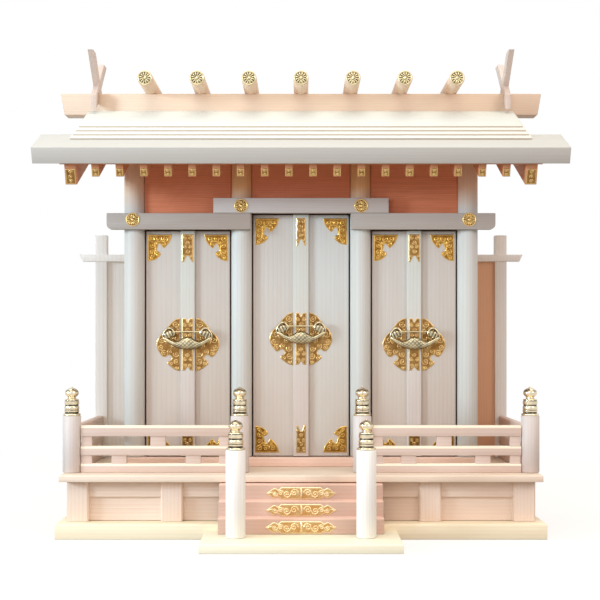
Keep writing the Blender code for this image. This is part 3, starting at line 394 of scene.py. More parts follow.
# Painted highlight on the railings' upper faces.
LIT_CROWN_WOOD = WoodFinish("crown_wood", from_screen(246, 236, 214), fibre_strength=0.15)
CHIGI_WOOD = WoodFinish("chigi_wood", from_screen(208, 192, 182))
FLOOR_WOOD = WoodFinish("floor_wood", from_screen(232, 214, 195))
PLINTH_WOOD = WoodFinish("plinth_wood", from_screen(238, 219, 203), ring_strength=0.4)
STAIR_WOOD = WoodFinish("stair_wood", from_screen(209, 176, 159))
# Painted light on the treads' upper faces.
LIT_TREAD_WOOD = WoodFinish("tread_wood", from_screen(235, 198, 180), fibre_strength=0.15)
SILL_WOOD = WoodFinish("sill_wood", from_screen(247, 215, 197))
SLAB_WOOD = WoodFinish("slab_wood", from_screen(247, 235, 205), ring_strength=0.26, fibre_strength=0.2)
PLATE_WOOD = replace(SLAB_WOOD, name="plate_wood", early=from_screen(247, 244, 220))
WALL_WOOD = WoodFinish("wall_wood", from_screen(217, 205, 189))
GILT = GiltFinish("gilt", from_screen(196, 164, 108), from_screen(124, 84, 38))
CORNER_GILT = GiltFinish("corner_gilt", from_screen(198, 159, 84), from_screen(124, 80, 28))
PALE_GILT = GiltFinish("pale_gilt", from_screen(231, 212, 170), from_screen(190, 140, 78))
# The sunk ground of these brasses is near black: patina together with painted shade and dark reflection.
CAP_BRASS = GiltFinish("cap_brass", from_screen(216, 200, 157), from_screen(44, 32, 14))
ROSETTE_BRASS = GiltFinish("rosette_brass", from_screen(232, 196, 124), from_screen(58, 40, 18))
POLISHED_BRASS = GiltFinish("polished_brass", from_screen(232, 218, 188), from_screen(38, 30, 22),
                            roughness=0.14)
BRIGHT_BRASS = GiltFinish("bright_brass", from_screen(214, 200, 163), from_screen(40, 30, 16),
                          roughness=0.2)


# Meshes worked out as arrays


@dataclass
class Shell:
    """Points, faces and an optional sunk-ground value for each point of a closed surface."""

    points: np.ndarray
    faces: list = field(default_factory=list)
    recess: np.ndarray | None = None


def join_shells(shells: list[Shell]) -> Shell:
    """Gathers several closed surfaces into one set of arrays."""
    points, faces, recess, start = [], [], [], 0
    for shell in shells:
        points.append(shell.points)
        faces += [part + start for part in shell.faces]
        values = shell.recess if shell.recess is not None else np.zeros(len(shell.points))
        recess.append(values)
        start += len(shell.points)
    return Shell(np.concatenate(points), faces, np.concatenate(recess))


def make_piece(name: str, shell: Shell, body: str, material: bpy.types.Material,
               replaced: tuple = ()) -> bpy.types.Object:
    """Puts a shell into a mesh object that rides on a body.

    Args:
        name: The piece's name.
        shell: Its points and faces.
        body: The body that it moves with.
        material: Its finish.
        replaced: Names of the solids that it stands for.

    Returns:
        The new object.
    """
    mesh = bpy.data.meshes.new(name)
    faces = [face for part in shell.faces for face in part.tolist()]
    mesh.from_pydata(shell.points.tolist(), [], faces)
    if shell.recess is not None:
        layer = mesh.attributes.new("recess", "FLOAT", "POINT")
        layer.data.foreach_set("value", shell.recess.astype(np.float32))
    mesh.materials.append(material)
    mesh.shade_smooth()
    mesh.set_sharp_from_angle(angle=math.radians(50))
    mesh.update()
    piece = bpy.data.objects.new(name, mesh)
    bpy.context.scene.collection.objects.link(piece)
    return fit_piece(piece, body, replaced)


def fit_piece(piece: bpy.types.Object, body: str, replaced: tuple = ()) -> bpy.types.Object:
    """Makes a piece ride on a body and hides what it stands for."""
    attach(piece, body)
    if replaced:
        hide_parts(*replaced)
    LOG.info("%s: %d faces, rides on %s", piece.name, len(piece.data.polygons), body)
    return piece


def ring_faces(rows: int, count: int, mirrored: bool = False) -> list[np.ndarray]:
    """Gives the faces of a closed surface of rings, whose two end points come after the rings.

    Args:
        rows: The number of rings.
        count: The number of points in each ring.
        mirrored: Whether the points run the other way round.

    Returns:
        Four-cornered walls and the three-cornered faces of the first and the last end.
    """
    step = np.arange(count)
    following = (step + 1) % count
    near = np.arange(rows - 1)[:, None] * count
    far = near + count
    last = (rows - 1) * count
    if mirrored:
        walls = [near + step, near + following, far + following, far + step]
        step, following = following, step
    else:
        walls = [near + step, far + step, far + following, near + following]
    start = np.stack([np.full(count, rows * count), step, following], axis=-1)
    end = np.stack([np.full(count, rows * count + 1), last + following, last + step], axis=-1)
    return [np.stack(walls, axis=-1).reshape(-1, 4), start, end]


def turned(profile: np.ndarray, sides: int, ripple: np.ndarray | None = None) -> Shell:
    """Works out a turned solid about its own upright axis.

    A point is (r cos t, r sin t, h), where (r, h) runs down the profile and t round the axis.
    The profile starts and ends on the axis, where a ring of three-cornered faces closes it.

    Args:
        profile: Rows of radius and height, from the top to the bottom.
        sides: The number of steps round the axis.
        ripple: Heights added to each profile row at each step, for petals.

    Returns:
        The closed surface.
    """
    angle = np.arange(sides) * 2 * math.pi / sides
    rows = profile[1:-1]
    heights = rows[:, 1:] + (ripple if ripple is not None else 0)
    ring = np.stack([rows[:, :1] * np.cos(angle), rows[:, :1] * np.sin(angle),
                     np.broadcast_to(heights, (len(rows), sides))], axis=-1)
    poles = np.array([[0, 0, profile[0, 1]], [0, 0, profile[-1, 1]]])
    return Shell(np.concatenate([ring.reshape(-1, 3), poles]), ring_faces(len(rows), sides))


def turned_recess(sides: int, values: np.ndarray) -> np.ndarray:
    """Gives each point of a turned solid the sunk-ground value of its profile row."""
    return np.concatenate([np.repeat(values[1:-1], sides), values[[0, -1]]])


def lay_to_front(points: np.ndarray, centre: np.ndarray, facing: float = -1.0) -> np.ndarray:
    """Turns a shape's up axis to point along Y, towards the viewer or away, and places it."""
    x, y, z = points.T
    return np.stack([centre[0] - facing * x, centre[1] + facing * z, centre[2] + y], axis=-1)


def smooth_path(knots: np.ndarray, steps: int, closed: bool = False) -> np.ndarray:
    """Runs a smooth curve through knots.

    Between two knots the curve is the cubic whose ends have half the slope of the chord
    between their neighbours.

    Args:
        knots: Rows of coordinates.
        steps: How many points each stretch gets.
        closed: Whether the last knot joins the first.

    Returns:
        The curve's points, in order.
    """
    if closed:
        ring = np.concatenate([knots[-1:], knots, knots[:2]])
    else:
        ring = np.concatenate([2 * knots[:1] - knots[1:2], knots, 2 * knots[-1:] - knots[-2:-1]])
    before, start, end, after = ring[:-3], ring[1:-2], ring[2:-1], ring[3:]
    share = (np.arange(steps) / steps)[None, :, None]
    before, start, end, after = (part[:, None, :] for part in (before, start, end, after))
    curve = 0.5 * (2 * start + (end - before) * share
                   + (2 * before - 5 * start + 4 * end - after) * share ** 2
                   + (3 * start - before - 3 * end + after) * share ** 3)
    curve = curve.reshape(-1, knots.shape[1])
    return curve if closed else np.concatenate([curve, knots[-1:]])


def distance_inside(points: np.ndarray, outline: np.ndarray) -> tuple[np.ndarray, np.ndarray]:
    """Measures how far points lie inside a closed outline.

    Each point's foot on each edge is the edge's start plus a share of the edge, and the
    nearest foot counts. A point is inside where a ray to its right crosses an odd number of edges.

    Args:
        points: Rows of plane coordinates.
        outline: The outline's corners, in order.

    Returns:
        The distances, positive inside, and the nearest points on the outline.
    """
    start, end = outline, np.roll(outline, -1, axis=0)
    edge = end - start
    away = points[:, None, :] - start[None]
    length = np.maximum((edge ** 2).sum(axis=1), 1e-16)
    share = np.clip((away * edge).sum(axis=2) / length, 0, 1)
    feet = start + share[..., None] * edge
    gap = np.linalg.norm(points[:, None, :] - feet, axis=2)
    nearest = gap.argmin(axis=1)
    picked = np.arange(len(points))
    crosses = (start[:, 1] > points[:, 1:]) != (end[:, 1] > points[:, 1:])
    rise = np.where(np.abs(edge[:, 1]) < 1e-12, 1e-12, edge[:, 1])
    reach = start[:, 0] + (points[:, 1:] - start[:, 1]) * edge[:, 0] / rise
    inside = (crosses & (points[:, :1] < reach)).sum(axis=1) % 2 == 1
    return np.where(inside, 1, -1) * gap[picked, nearest], feet[picked, nearest]


def trimmed_grid(outline: np.ndarray, pitch: float) -> tuple[np.ndarray, np.ndarray, np.ndarray]:
    """Lays square cells over an outline and pulls their outer corners on to it.

    Args:
        outline: The outline's corners, in order.
        pitch: The cells' size.

    Returns:
        The plane points, the cells and the edges that have a cell on one side only.
    """
    low, high = outline.min(axis=0), outline.max(axis=0)
    counts = np.maximum(np.ceil((high - low) / pitch).astype(int), 2)
    across = np.linspace(low[0], high[0], counts[0] + 1)
    upward = np.linspace(low[1], high[1], counts[1] + 1)
    grid = np.stack(np.meshgrid(across, upward), axis=-1).reshape(-1, 2)
    wide = counts[0] + 1
    corner = (np.arange(counts[1])[:, None] * wide + np.arange(counts[0])).reshape(-1, 1)
    cells = corner + np.array([0, 1, wide + 1, wide])
    cells = cells[distance_inside(grid[cells].mean(axis=1), outline)[0] > 0]
    used, cells = np.unique(cells, return_inverse=True)
    cells = cells.reshape(-1, 4)
    points = grid[used]
    edges = np.stack([cells, np.roll(cells, -1, axis=1)], axis=-1).reshape(-1, 2)
    forward = edges[:, 0] * len(points) + edges[:, 1]
    backward = edges[:, 1] * len(points) + edges[:, 0]
    rim = edges[~np.isin(forward, backward)]
    on_rim = np.unique(rim)
    points[on_rim] = distance_inside(points[on_rim], outline)[1]
    inner = np.ones(len(points), bool)
    inner[on_rim] = False
    for _ in range(4):
        total = np.zeros_like(points)
        count = np.zeros(len(points))
        for first, second in ((0, 1), (1, 0)):
            np.add.at(total, edges[:, first], points[edges[:, second]])
            np.add.at(count, edges[:, first], 1)
        mean = total / count[:, None]
        points[inner] = 0.5 * (points[inner] + mean[inner])
    return points, cells, rim


def flower_cap(radius: float, petals: int = 12, rise: float = 0.9 * MM) -> Shell:
    """Works out a round cap with petals round a button, its back on the plane of zero height.

    Between the button and the rim the height is an arch over each petal: the root of the
    sine of the petal's share, times the petal's rise.

    Args:
        radius: The cap's radius.
        petals: How many petals it has.
        rise: How high the petals stand.

    Returns:
        The closed surface, looking up.
    """
    rows = np.array([
        (0.0, 1.95), (0.06, 1.94), (0.12, 1.85), (0.18, 1.55), (0.22, 1.1), (0.25, 0.66), (0.28, 0.62),
        (0.32, 0.85), (0.4, 1.05), (0.5, 1.15), (0.6, 1.15), (0.68, 1.08), (0.75, 0.92), (0.8, 0.66),
        (0.84, 0.66), (0.87, 0.95), (0.92, 1.1), (0.96, 1.02), (0.99, 0.85), (1.0, 0.6), (1.0, 0.0),
        (0.0, 0.0)])
    profile = rows * np.array([radius, rise])
    angle = np.arange(petals * 10) * 2 * math.pi / (petals * 10)
    arch = np.abs(np.sin(angle * petals / 2)) ** 0.5
    out = rows[1:-1, :1]
    share = np.clip((out - 0.27) / 0.08, 0, 1) * np.clip((0.83 - out) / 0.08, 0, 1)
    shell = turned(profile, len(angle), share * (arch - 1) * rise * 0.9)
    dark = np.clip(share * (1 - arch) * 7.0 - 0.7, 0, 1)
    grooves = ((out > 0.23) & (out < 0.3)) | ((out > 0.78) & (out < 0.85))
    dark = np.maximum(dark, grooves * 1.0)
    shell.recess = np.concatenate([dark.reshape(-1), np.zeros(2)])
    return shell


@dataclass(frozen=True)
class Scroll:
    """One tendril that winds inwards from its rim to a bead at its eye."""

    x: float
    z: float
    radius: float
    start: float = 0.0
    hand: int = 1
    turns: float = 1.35
    half_width: float = 0.55 * MM

    def path(self) -> np.ndarray:
        """Gives points and half widths along the tendril.

        The radius falls evenly to a sixth while the angle turns, and the width narrows by half.

        Returns:
            Rows of X, Z and half width.
        """
        share = np.linspace(0, 1, 56)
        angle = math.radians(self.start) + self.hand * share * self.turns * 2 * math.pi
        reach = self.radius * (1 - 0.84 * share)
        width = self.half_width * (1 - 0.35 * share)
        width[-3:] = self.half_width * 1.25
        return np.stack([self.x + reach * np.cos(angle), self.z + reach * np.sin(angle), width], axis=-1)

    def mirrored(self, across: bool, upright: bool) -> "Scroll":
        """Gives the tendril mirrored across X, Z or both."""
        start, hand = self.start, self.hand
        if across:
            start, hand = 180 - start, -hand
        if upright:
            start, hand = -start, -hand
        return Scroll(-self.x if across else self.x, -self.z if upright else self.z,
                      self.radius, start, hand, self.turns, self.half_width)


def scrolls_of(rows: list[tuple], turns: float = Scroll.turns,
               half_width: float = Scroll.half_width) -> list[Scroll]:
    """Gives a scroll for each row of X, Z, radius in millimetres, starting angle and hand."""
    return [Scroll(x * MM, z * MM, radius * MM, start, hand, turns, half_width)
            for x, z, radius, start, hand in rows]


def paths_of(scrolls: list[Scroll]) -> list[np.ndarray]:
    """Gives the points and half widths along each scroll."""
    return [scroll.path() for scroll in scrolls]


def stem(knots: list[tuple], half_width: float = 0.5 * MM) -> np.ndarray:
    """Gives a stem as rows of X, Z and half width, thinner at its ends, from knots in millimetres."""
    curve = smooth_path(np.array(knots) * MM, 14)
    share = np.linspace(-1, 1, len(curve))
    width = half_width * (1 - 0.45 * share ** 2)
    return np.concatenate([curve, width[:, None]], axis=1)


def raised_by(points: np.ndarray, strands: list[np.ndarray]) -> np.ndarray:
    """Works out the height of round raised strands over plane points.

    Over a strand of half width w, at a distance d from its middle line, the height is the
    round arch w times the root of 1 - (d / w) squared. The highest strand counts.

    Args:
        points: Rows of plane coordinates.
        strands: Rows of X, Z and half width along each strand.

    Returns:
        The height at each point.
    """
    height = np.zeros(len(points))
    for strand in strands:
        gap = np.linalg.norm(points[:, None, :] - strand[None, :, :2], axis=2)
        arch = strand[:, 2] * np.sqrt(np.clip(1 - (gap / strand[:, 2]) ** 2, 0, 1))
        height = np.maximum(height, arch.max(axis=1))
    return height


@dataclass(frozen=True)
class Relief:
    """How a pressed metal sheet is shaped: its thickness, rim bead and raised work."""

    thickness: float = 0.45 * MM
    rim_rise: float = 0.22 * MM
    rim_inset: float = 0.75 * MM
    rim_width: float = 0.32 * MM
    edge_drop: float = 0.2 * MM
    pitch: float = 0.45 * MM

    def heights(self, points: np.ndarray, depth: np.ndarray,
                strands: list[np.ndarray]) -> tuple[np.ndarray, np.ndarray]:
        """Works out heights and sunk ground over a sheet.

        The height is the sheet, less a drop that fades over the outer 0.3 mm, plus a bell-shaped
        bead along the rim and the raised strands.

        Args:
            points: Rows of plane coordinates.
            depth: How far each lies inside the outline.
            strands: The raised strands.

        Returns:
            The heights, and how sunk each point is from 0 to 1.
        """
        edge = self.edge_drop * np.clip(1 - depth / (0.3 * MM), 0, 1) ** 2
        bead = self.rim_rise * np.exp(-((depth - self.rim_inset) / self.rim_width) ** 2)
        raised = raised_by(points, strands)
        rise = np.maximum(bead, raised)
        sunk = np.clip(1 - rise / (0.2 * MM), 0, 1) * np.clip(depth / self.rim_inset - 0.6, 0, 1)
        return self.thickness - edge + rise, sunk


def relief_shell(outline: np.ndarray, strands: list[np.ndarray], relief: Relief,
                 offset: np.ndarray) -> Shell:
    """Makes a pressed metal sheet that lies against a face and looks towards the viewer.

    A front point is (x, -h, z) from the offset, where (x, z) runs over the outline's grid and h
    is the relief's height there. Walls along the rim and a flat back close it.

    Args:
        outline: Rows of X and Z round the sheet.
        strands: The raised work.
        relief: How the sheet is shaped.
        offset: The point that the outline's zero lies on.

    Returns:
        The closed surface.
    """
    plane, cells, rim = trimmed_grid(outline, relief.pitch)
    depth = np.maximum(distance_inside(plane, outline)[0], 0)
    height, sunk = relief.heights(plane, depth, strands)
    front = np.stack([plane[:, 0], -height, plane[:, 1]], axis=-1) + offset
    back = np.stack([plane[:, 0], np.zeros(len(plane)), plane[:, 1]], axis=-1) + offset
    count = len(plane)
    walls = np.stack([rim[:, 1], rim[:, 0], rim[:, 0] + count, rim[:, 1] + count], axis=-1)
    faces = [cells, cells[:, ::-1] + count, walls]
    return Shell(np.concatenate([front, back]), faces, np.concatenate([sunk, np.ones(count)]))


def flip(points: np.ndarray, across: bool, upright: bool) -> np.ndarray:
    """Mirrors plane rows across X, Z or both and keeps any further column."""
    sign = np.ones(points.shape[1])
    sign[0] = -1 if across else 1
    sign[1] = -1 if upright else 1
    return points * sign


# Timber


Rule = Callable[[np.ndarray, np.ndarray], np.ndarray]


def takes_top_light(_: np.ndarray, normals: np.ndarray) -> np.ndarray:
    """Picks the faces that look at least a little upwards, which get painted light."""
    return normals[:, 2] > 0.15


@dataclass
class Timber:
    """The sawn and planed pieces, each with its edges eased."""

    edge: float = 0.45 * MM
    fine_edge: float = 0.3 * MM
    roof_edge: float = 0.2 * MM
    rail_crown: float = 2.2 * MM
    floor_crown: float = 1.4 * MM
    tread_crown: float = 0.45 * MM
    end_room: float = 0.9 * MM
    merge: float = 0.00001
    planks: int = 4
    made: int = 0

    def eased(self, node: str, finish: WoodFinish, grain: Grain,
              edge: float | None = None, crown: float = 0.0) -> bpy.types.Object:
        """Replaces a solid with a copy whose edges are rounded.

        Args:
            node: The solid's name.
            finish: Its wood.
            grain: The way that its fibres run.
            edge: The rounding, where it isn't the usual one.
            crown: A larger rounding for the long upper edges on the front and back.

        Returns:
            The new piece.
        """
        name = f"{node}_planed"
        mesh = bpy.data.meshes.new(name)
        work = bmesh.new()
        work.from_mesh(frame["nodes"][node].data)
        bmesh.ops.remove_doubles(work, verts=work.verts, dist=self.merge)
        bmesh.ops.dissolve_limit(work, angle_limit=math.radians(1), verts=work.verts, edges=work.edges)
        bmesh.ops.dissolve_degenerate(work, dist=self.merge * 5, edges=work.edges)
        work.normal_update()
        if crown:
            self.round_crowns(work, crown)
        limit = math.radians(28)
        sharp = [e for e in work.edges if len(e.link_faces) == 2 and e.calc_face_angle(0) > limit]
        bmesh.ops.bevel(work, geom=sharp, offset=edge or self.edge, offset_type="OFFSET", segments=2,
                        profile=0.5, affect="EDGES", clamp_overlap=True)
        bmesh.ops.recalc_face_normals(work, faces=work.faces)
        work.to_mesh(mesh)
        work.free()
        mesh.materials.clear()
        mesh.materials.append(finish.material(grain, self.made % self.planks))
        mesh.shade_smooth()
        mesh.set_sharp_from_angle(angle=math.radians(33))
        self.made += 1
        piece = bpy.data.objects.new(name, mesh)
        bpy.context.scene.collection.objects.link(piece)
        return fit_piece(piece, body_of(node), (node,))

    def clear_end(self, piece: bpy.types.Object) -> None:
        """Draws back a side lintel's inner end, so that the open centre leaf's mounts pass it.

        Args:
            piece: The planed lintel.
        """
        points = np.empty(len(piece.data.vertices) * 3)
        piece.data.vertices.foreach_get("co", points)
        points = points.reshape(-1, 3)
        reach = np.abs(points[:, 0])
        inner = reach < reach.min() + 2 * self.edge
        points[inner, 0] += np.sign(points[inner, 0]) * self.end_room
        piece.data.vertices.foreach_set("co", points.ravel())
        piece.data.update()

    def round_crowns(self, work: bmesh.types.BMesh, crown: float) -> None:
        """Rounds the edges between a level upper face and an upright face that looks along Y.

        Args:
            work: The mesh being planed.
            crown: How far the rounding reaches.
        """
        tops = []
        for edge in work.edges:
            if len(edge.link_faces) == 2:
                rise = sorted(face.normal.z for face in edge.link_faces)
                depth = max(abs(face.normal.y) for face in edge.link_faces)
                if rise[1] > 0.9 and abs(rise[0]) < 0.1 and depth > 0.9 and edge.is_convex:
                    tops.append(edge)
        bmesh.ops.bevel(work, geom=tops, offset=crown, offset_type="OFFSET", segments=4, profile=0.5,
                        affect="EDGES", clamp_overlap=True)

    def recut(self, piece: bpy.types.Object, finish: WoodFinish, grain: Grain, rule: Rule) -> None:
        """Gives some faces of a planed piece another board's wood.

        Args:
            piece: The planed piece.
            finish: The other board's wood.
            grain: The way that its fibres run.
            rule: Says from the faces' middles and normals, a row each, which are that board's.
        """
        mesh = piece.data
        mesh.materials.append(finish.material(grain, self.made % self.planks))
        middles = np.empty(len(mesh.polygons) * 3)
        mesh.polygons.foreach_get("center", middles)
        normals = np.empty(len(mesh.polygons) * 3)
        mesh.polygons.foreach_get("normal", normals)
        board = np.empty(len(mesh.polygons), dtype=np.int32)
        mesh.polygons.foreach_get("material_index", board)
        board[rule(middles.reshape(-1, 3), normals.reshape(-1, 3))] = len(mesh.materials) - 1
        mesh.polygons.foreach_set("material_index", board)

    def on_panel(self, node: str) -> Rule:
        """Gives the rule for the front of a wing screen's board, which lies behind its post's face."""
        coords = corners_of(node)
        top = coords[coords[:, 2] > coords[:, 2].max() - 0.2 * MM]
        inner, front = np.abs(top[:, 0]).min(), top[:, 1].min() + 2 * MM

        def rule(at: np.ndarray, normals: np.ndarray) -> np.ndarray:
            return (np.abs(at[:, 0]) < inner) & (at[:, 1] > front) & (normals[:, 1] < -0.8)

        return rule

    def posts_upright(self, piece: bpy.types.Object, node: str) -> None:
        """Gives the posts of a plinth rail an upright grain.

        The posts are where the solid's foremost corners lie. A face belongs to a post when its
        middle lies between the post's two sides along X.

        Args:
            piece: The planed piece.
            node: The solid that it stands for.
        """
        coords = corners_of(node)
        outer = coords[:, 1].min() if coords[:, 1].mean() < 0 else coords[:, 1].max()
        face = coords[np.abs(coords[:, 1] - outer) < 0.2 * MM]
        groups = groups_of(face[:, 0], 40 * MM)

        def on_post(at: np.ndarray, _: np.ndarray) -> np.ndarray:
            across = at[:, :1]
            low = np.array([group.min() for group in groups]) - 2 * MM
            high = np.array([group.max() for group in groups]) + 2 * MM
            return ((across > low) & (across < high)).any(axis=1)

        self.recut(piece, PLINTH_WOOD, Grain.ALONG_Z, on_post)

    def build(self) -> None:
        """Planes every board and bar that keeps the shape of its solid."""
        self.eased("base_slab", SLAB_WOOD, Grain.ALONG_X)
        self.eased("stair_plate", PLATE_WOOD, Grain.ALONG_X)
        for node in ("plinth_front", "plinth_back"):
            self.posts_upright(self.eased(node, PLINTH_WOOD, Grain.ALONG_X), node)
        for node in ("plinth_left", "plinth_right"):
            self.eased(node, PLINTH_WOOD, Grain.ALONG_Y)
        self.eased("veranda_floor", FLOOR_WOOD, Grain.ALONG_X, crown=self.floor_crown)
        stairs = self.eased("stairs", STAIR_WOOD, Grain.ALONG_X, crown=self.tread_crown)
        # The treads' upper faces get painted light.
        self.recut(stairs, LIT_TREAD_WOOD, Grain.ALONG_X, takes_top_light)
        for side in ("left", "right"):
            rail = self.eased(f"railing_front_{side}", RAIL_WOOD, Grain.ALONG_X, edge=self.fine_edge,
                              crown=self.rail_crown)
            # The rail's upper faces get a painted highlight.
            self.recut(rail, LIT_CROWN_WOOD, Grain.ALONG_X, takes_top_light)
            self.eased(f"railing_side_{side}", RAIL_WOOD, Grain.ALONG_Y, edge=self.fine_edge)
            wing = self.eased(f"wing_screen_{side}", WING_WOOD, Grain.ALONG_Z, edge=self.fine_edge)
            if side == "right":
                self.recut(wing, SHADED_WOOD, Grain.ALONG_Z, self.on_panel(f"wing_screen_{side}"))
            self.eased(f"side_wall_{side}", WALL_WOOD, Grain.ALONG_Z, edge=self.fine_edge)
            self.eased(f"chigi_{side}", CHIGI_WOOD, Grain.ALONG_Y, edge=self.fine_edge)
        self.eased("door_sill", SILL_WOOD, Grain.ALONG_X)
        self.eased("hall_floor", WALL_WOOD, Grain.ALONG_X)
        self.eased("back_wall", WALL_WOOD, Grain.ALONG_Z, edge=self.fine_edge)
        for doorway in Doorway:
            # The transoms' colour is painted shade.
            self.eased(f"transom_{doorway.value}", SHADED_TRANSOM_WOOD, Grain.ALONG_X,
                       edge=self.fine_edge)
            lintel = LINTEL_WOOD if doorway is Doorway.CENTRE else SIDE_LINTEL_WOOD
            piece = self.eased(f"lintel_{doorway.value}", lintel, Grain.ALONG_X)
            if doorway is not Doorway.CENTRE:
                self.clear_end(piece)
        for face in ("front", "back"):
            # The rafters' colour is painted shade.
            self.eased(f"rafters_{face}", SHADED_RAFTER_WOOD, Grain.ALONG_Y, edge=self.fine_edge)
            self.eased(f"eave_board_{face}", ROOF_WOOD, Grain.ALONG_X)
            roof = self.eased(f"roof_{face}", BOARD_WOOD, Grain.ALONG_X, edge=self.roof_edge)
            way = -1.0 if face == "front" else 1.0
            # The layers' front edges get painted shade.
            self.recut(roof, SHADED_RISER_WOOD, Grain.ALONG_X,
                       lambda _, normals, way=way: normals[:, 1] * way > 0.8)


@dataclass
class RoundTimber:
    """Turned columns and posts."""

    sides: int = 96
    chamfer: float = 0.8 * MM

    def rod(self, low: float, high: float, radius: float) -> Shell:
        """Works out an upright round rod with chamfered ends."""
        edge = self.chamfer
        rows = [(0, high), (radius - edge, high), (radius, high - edge), (radius, low + edge),
                (radius - edge, low), (0, low)]
        return turned(np.array(rows), self.sides)

    def upright(self, node: str, finish: WoodFinish, plank: int, shell: Shell) -> None:
        """Makes the piece that stands for an upright solid, from its shell."""
        make_piece(f"{node}_turned", shell, body_of(node),
                   finish.material(Grain.ALONG_Z, plank), (node,))

    def column(self, node: str, finish: WoodFinish, plank: int) -> None:
        """Rounds a hall column, whose top follows the slope of the rafters.

        The column's side is a circle of its radius, and its top is the solid's own slanted cut:
        a point's height is the cut's height at that point's Y.

        Args:
            node: The solid's name.
            finish: Its wood.
            plank: Where in the log it was sawn.
        """
        box = Box.of(node)
        radius = box.size[0] / 2
        shell = self.rod(box.low[2], box.high[2], radius)
        points = shell.points + np.array([*box.middle[:2], 0])
        coords = corners_of(node)
        upper = coords[coords[:, 2] > box.middle[2]]
        slope, level = np.polyfit(upper[:, 1], upper[:, 2], 1)
        top = points[:, 2] > box.middle[2]
        points[top, 2] += slope * points[top, 1] + level - box.high[2]
        shell.points = points
        self.upright(node, finish, plank, shell)

    def post(self, node: str, finish: WoodFinish, plank: int) -> None:
        """Rounds a veranda post."""
        box = Box.of(node)
        shell = self.rod(box.low[2], box.high[2], box.size[0] / 2)
        shell.points = shell.points + np.array([*box.middle[:2], 0])
        self.upright(node, finish, plank, shell)

    def build(self) -> None:
        """Makes the columns and posts."""
        plank = 0
        for side in Side:
            word = side.name.lower()
            for row in ("inner", "outer"):
                finish = COLUMN_WOOD if row == "inner" else OUTER_COLUMN_WOOD
                self.column(f"column_{row}_{word}", finish, plank % 4)
                plank += 1
            for place in ("stair", "landing", "corner"):
                finish = STAIR_POST_WOOD if place == "stair" else CORNER_POST_WOOD
                self.post(f"{place}_post_{word}", finish, plank % 4)
                plank += 1


@dataclass
class Ridge:
    """The ridge beam, the round logs laid across it and their gilt end caps."""

    log_sides: int = 72
    log_chamfer: float = 0.6 * MM
    cap_share: float = 0.93
    beam_edge: float = 0.7 * MM

    def log_rows(self) -> tuple[np.ndarray, float, Box]:
        """Finds the logs' places along X, their radius and the whole node's box."""
        box = Box.of("ridge_beam")
        coords = corners_of("ridge_beam")
        ends = coords[coords[:, 1] < box.low[1] + 0.1 * MM]
        groups = groups_of(ends[np.abs(ends[:, 2] - ends[:, 2].max()) < 0.2 * MM][:, 0], 10 * MM)
        radius = (ends[:, 2].max() - ends[:, 2].min()) / 2
        return np.array([group.mean() for group in groups]), radius, box

    def beam(self, box: Box) -> Shell:
        """Works out the beam as a lofted bar whose lower ends are cut back.

        A point is (x s(z), y, z): the section is a rectangle with rounded corners, and its
        half length shrinks evenly from the top to the bottom by the end slant.

        Args:
            box: The node's box.

        Returns:
            The closed surface.
        """
        coords = corners_of("ridge_beam")
        ends = coords[np.abs(coords[:, 0]) > box.high[0] - 10 * MM]
        low, high = ends.min(axis=0), ends.max(axis=0)
        under = np.abs(ends[ends[:, 2] < low[2] + 1 * MM][:, 0]).max()
        half_y, half_z, edge = (high[1] - low[1]) / 2, (high[2] - low[2]) / 2, self.beam_edge
        middle = (low + high) / 2
        quarter = np.linspace(0, math.pi / 2, 4)
        corner = np.concatenate([quarter + k * math.pi / 2 for k in range(4)])
        shift_y = np.repeat([1, -1, -1, 1], 4) * (half_y - edge)
        shift_z = np.repeat([1, 1, -1, -1], 4) * (half_z - edge)
        ring = np.stack([shift_y + edge * np.cos(corner), shift_z + edge * np.sin(corner)], axis=-1)
        inner = ring * (1 - edge / np.array([half_y, half_z]))
        near = 1 - edge / high[0]
        rows = []
        for share, section in ((-1, inner), (-near, ring), (near, ring), (1, inner)):
            half = under + (high[0] - under) * (section[:, 1] + half_z) / (2 * half_z)
            place = [share * half, middle[1] + section[:, 0], middle[2] + section[:, 1]]
            rows.append(np.stack(place, axis=-1))
        caps = np.stack([rows[0].mean(axis=0), rows[-1].mean(axis=0)])
        return Shell(np.concatenate([*rows, caps]), ring_faces(len(rows), len(ring)))

    def build(self) -> None:
        """Makes the beam, the logs and the caps on both ends of each log."""
        places, radius, box = self.log_rows()
        make_piece("ridge_beam_planed", self.beam(box), "shrine",
                   RIDGE_WOOD.material(Grain.ALONG_X, 1), ("ridge_beam",))
        half, centre_y, centre_z = box.size[1] / 2, box.middle[1], box.high[2] - radius
        edge = self.log_chamfer
        rows = [(0, half), (radius - edge, half), (radius, half - edge), (radius, edge - half),
                (radius - edge, -half), (0, -half)]
        for number, place in enumerate(places, start=1):
            centre = np.array([place, centre_y, centre_z])
            log = turned(np.array(rows), self.log_sides)
            log.points = lay_to_front(log.points, centre)
            make_piece(f"ridge_log_{number}", log, "shrine",
                       RIDGE_WOOD.material(Grain.ALONG_Y, number % 4))
            caps = []
            for facing in (-1.0, 1.0):
                cap = flower_cap(radius * self.cap_share)
                end = centre + np.array([0, facing * half, 0])
                cap.points = lay_to_front(cap.points, end, facing)
                caps.append(cap)
            make_piece(f"ridge_log_{number}_caps", join_shells(caps), "shrine",
                       CAP_BRASS.material())


# Metalwork


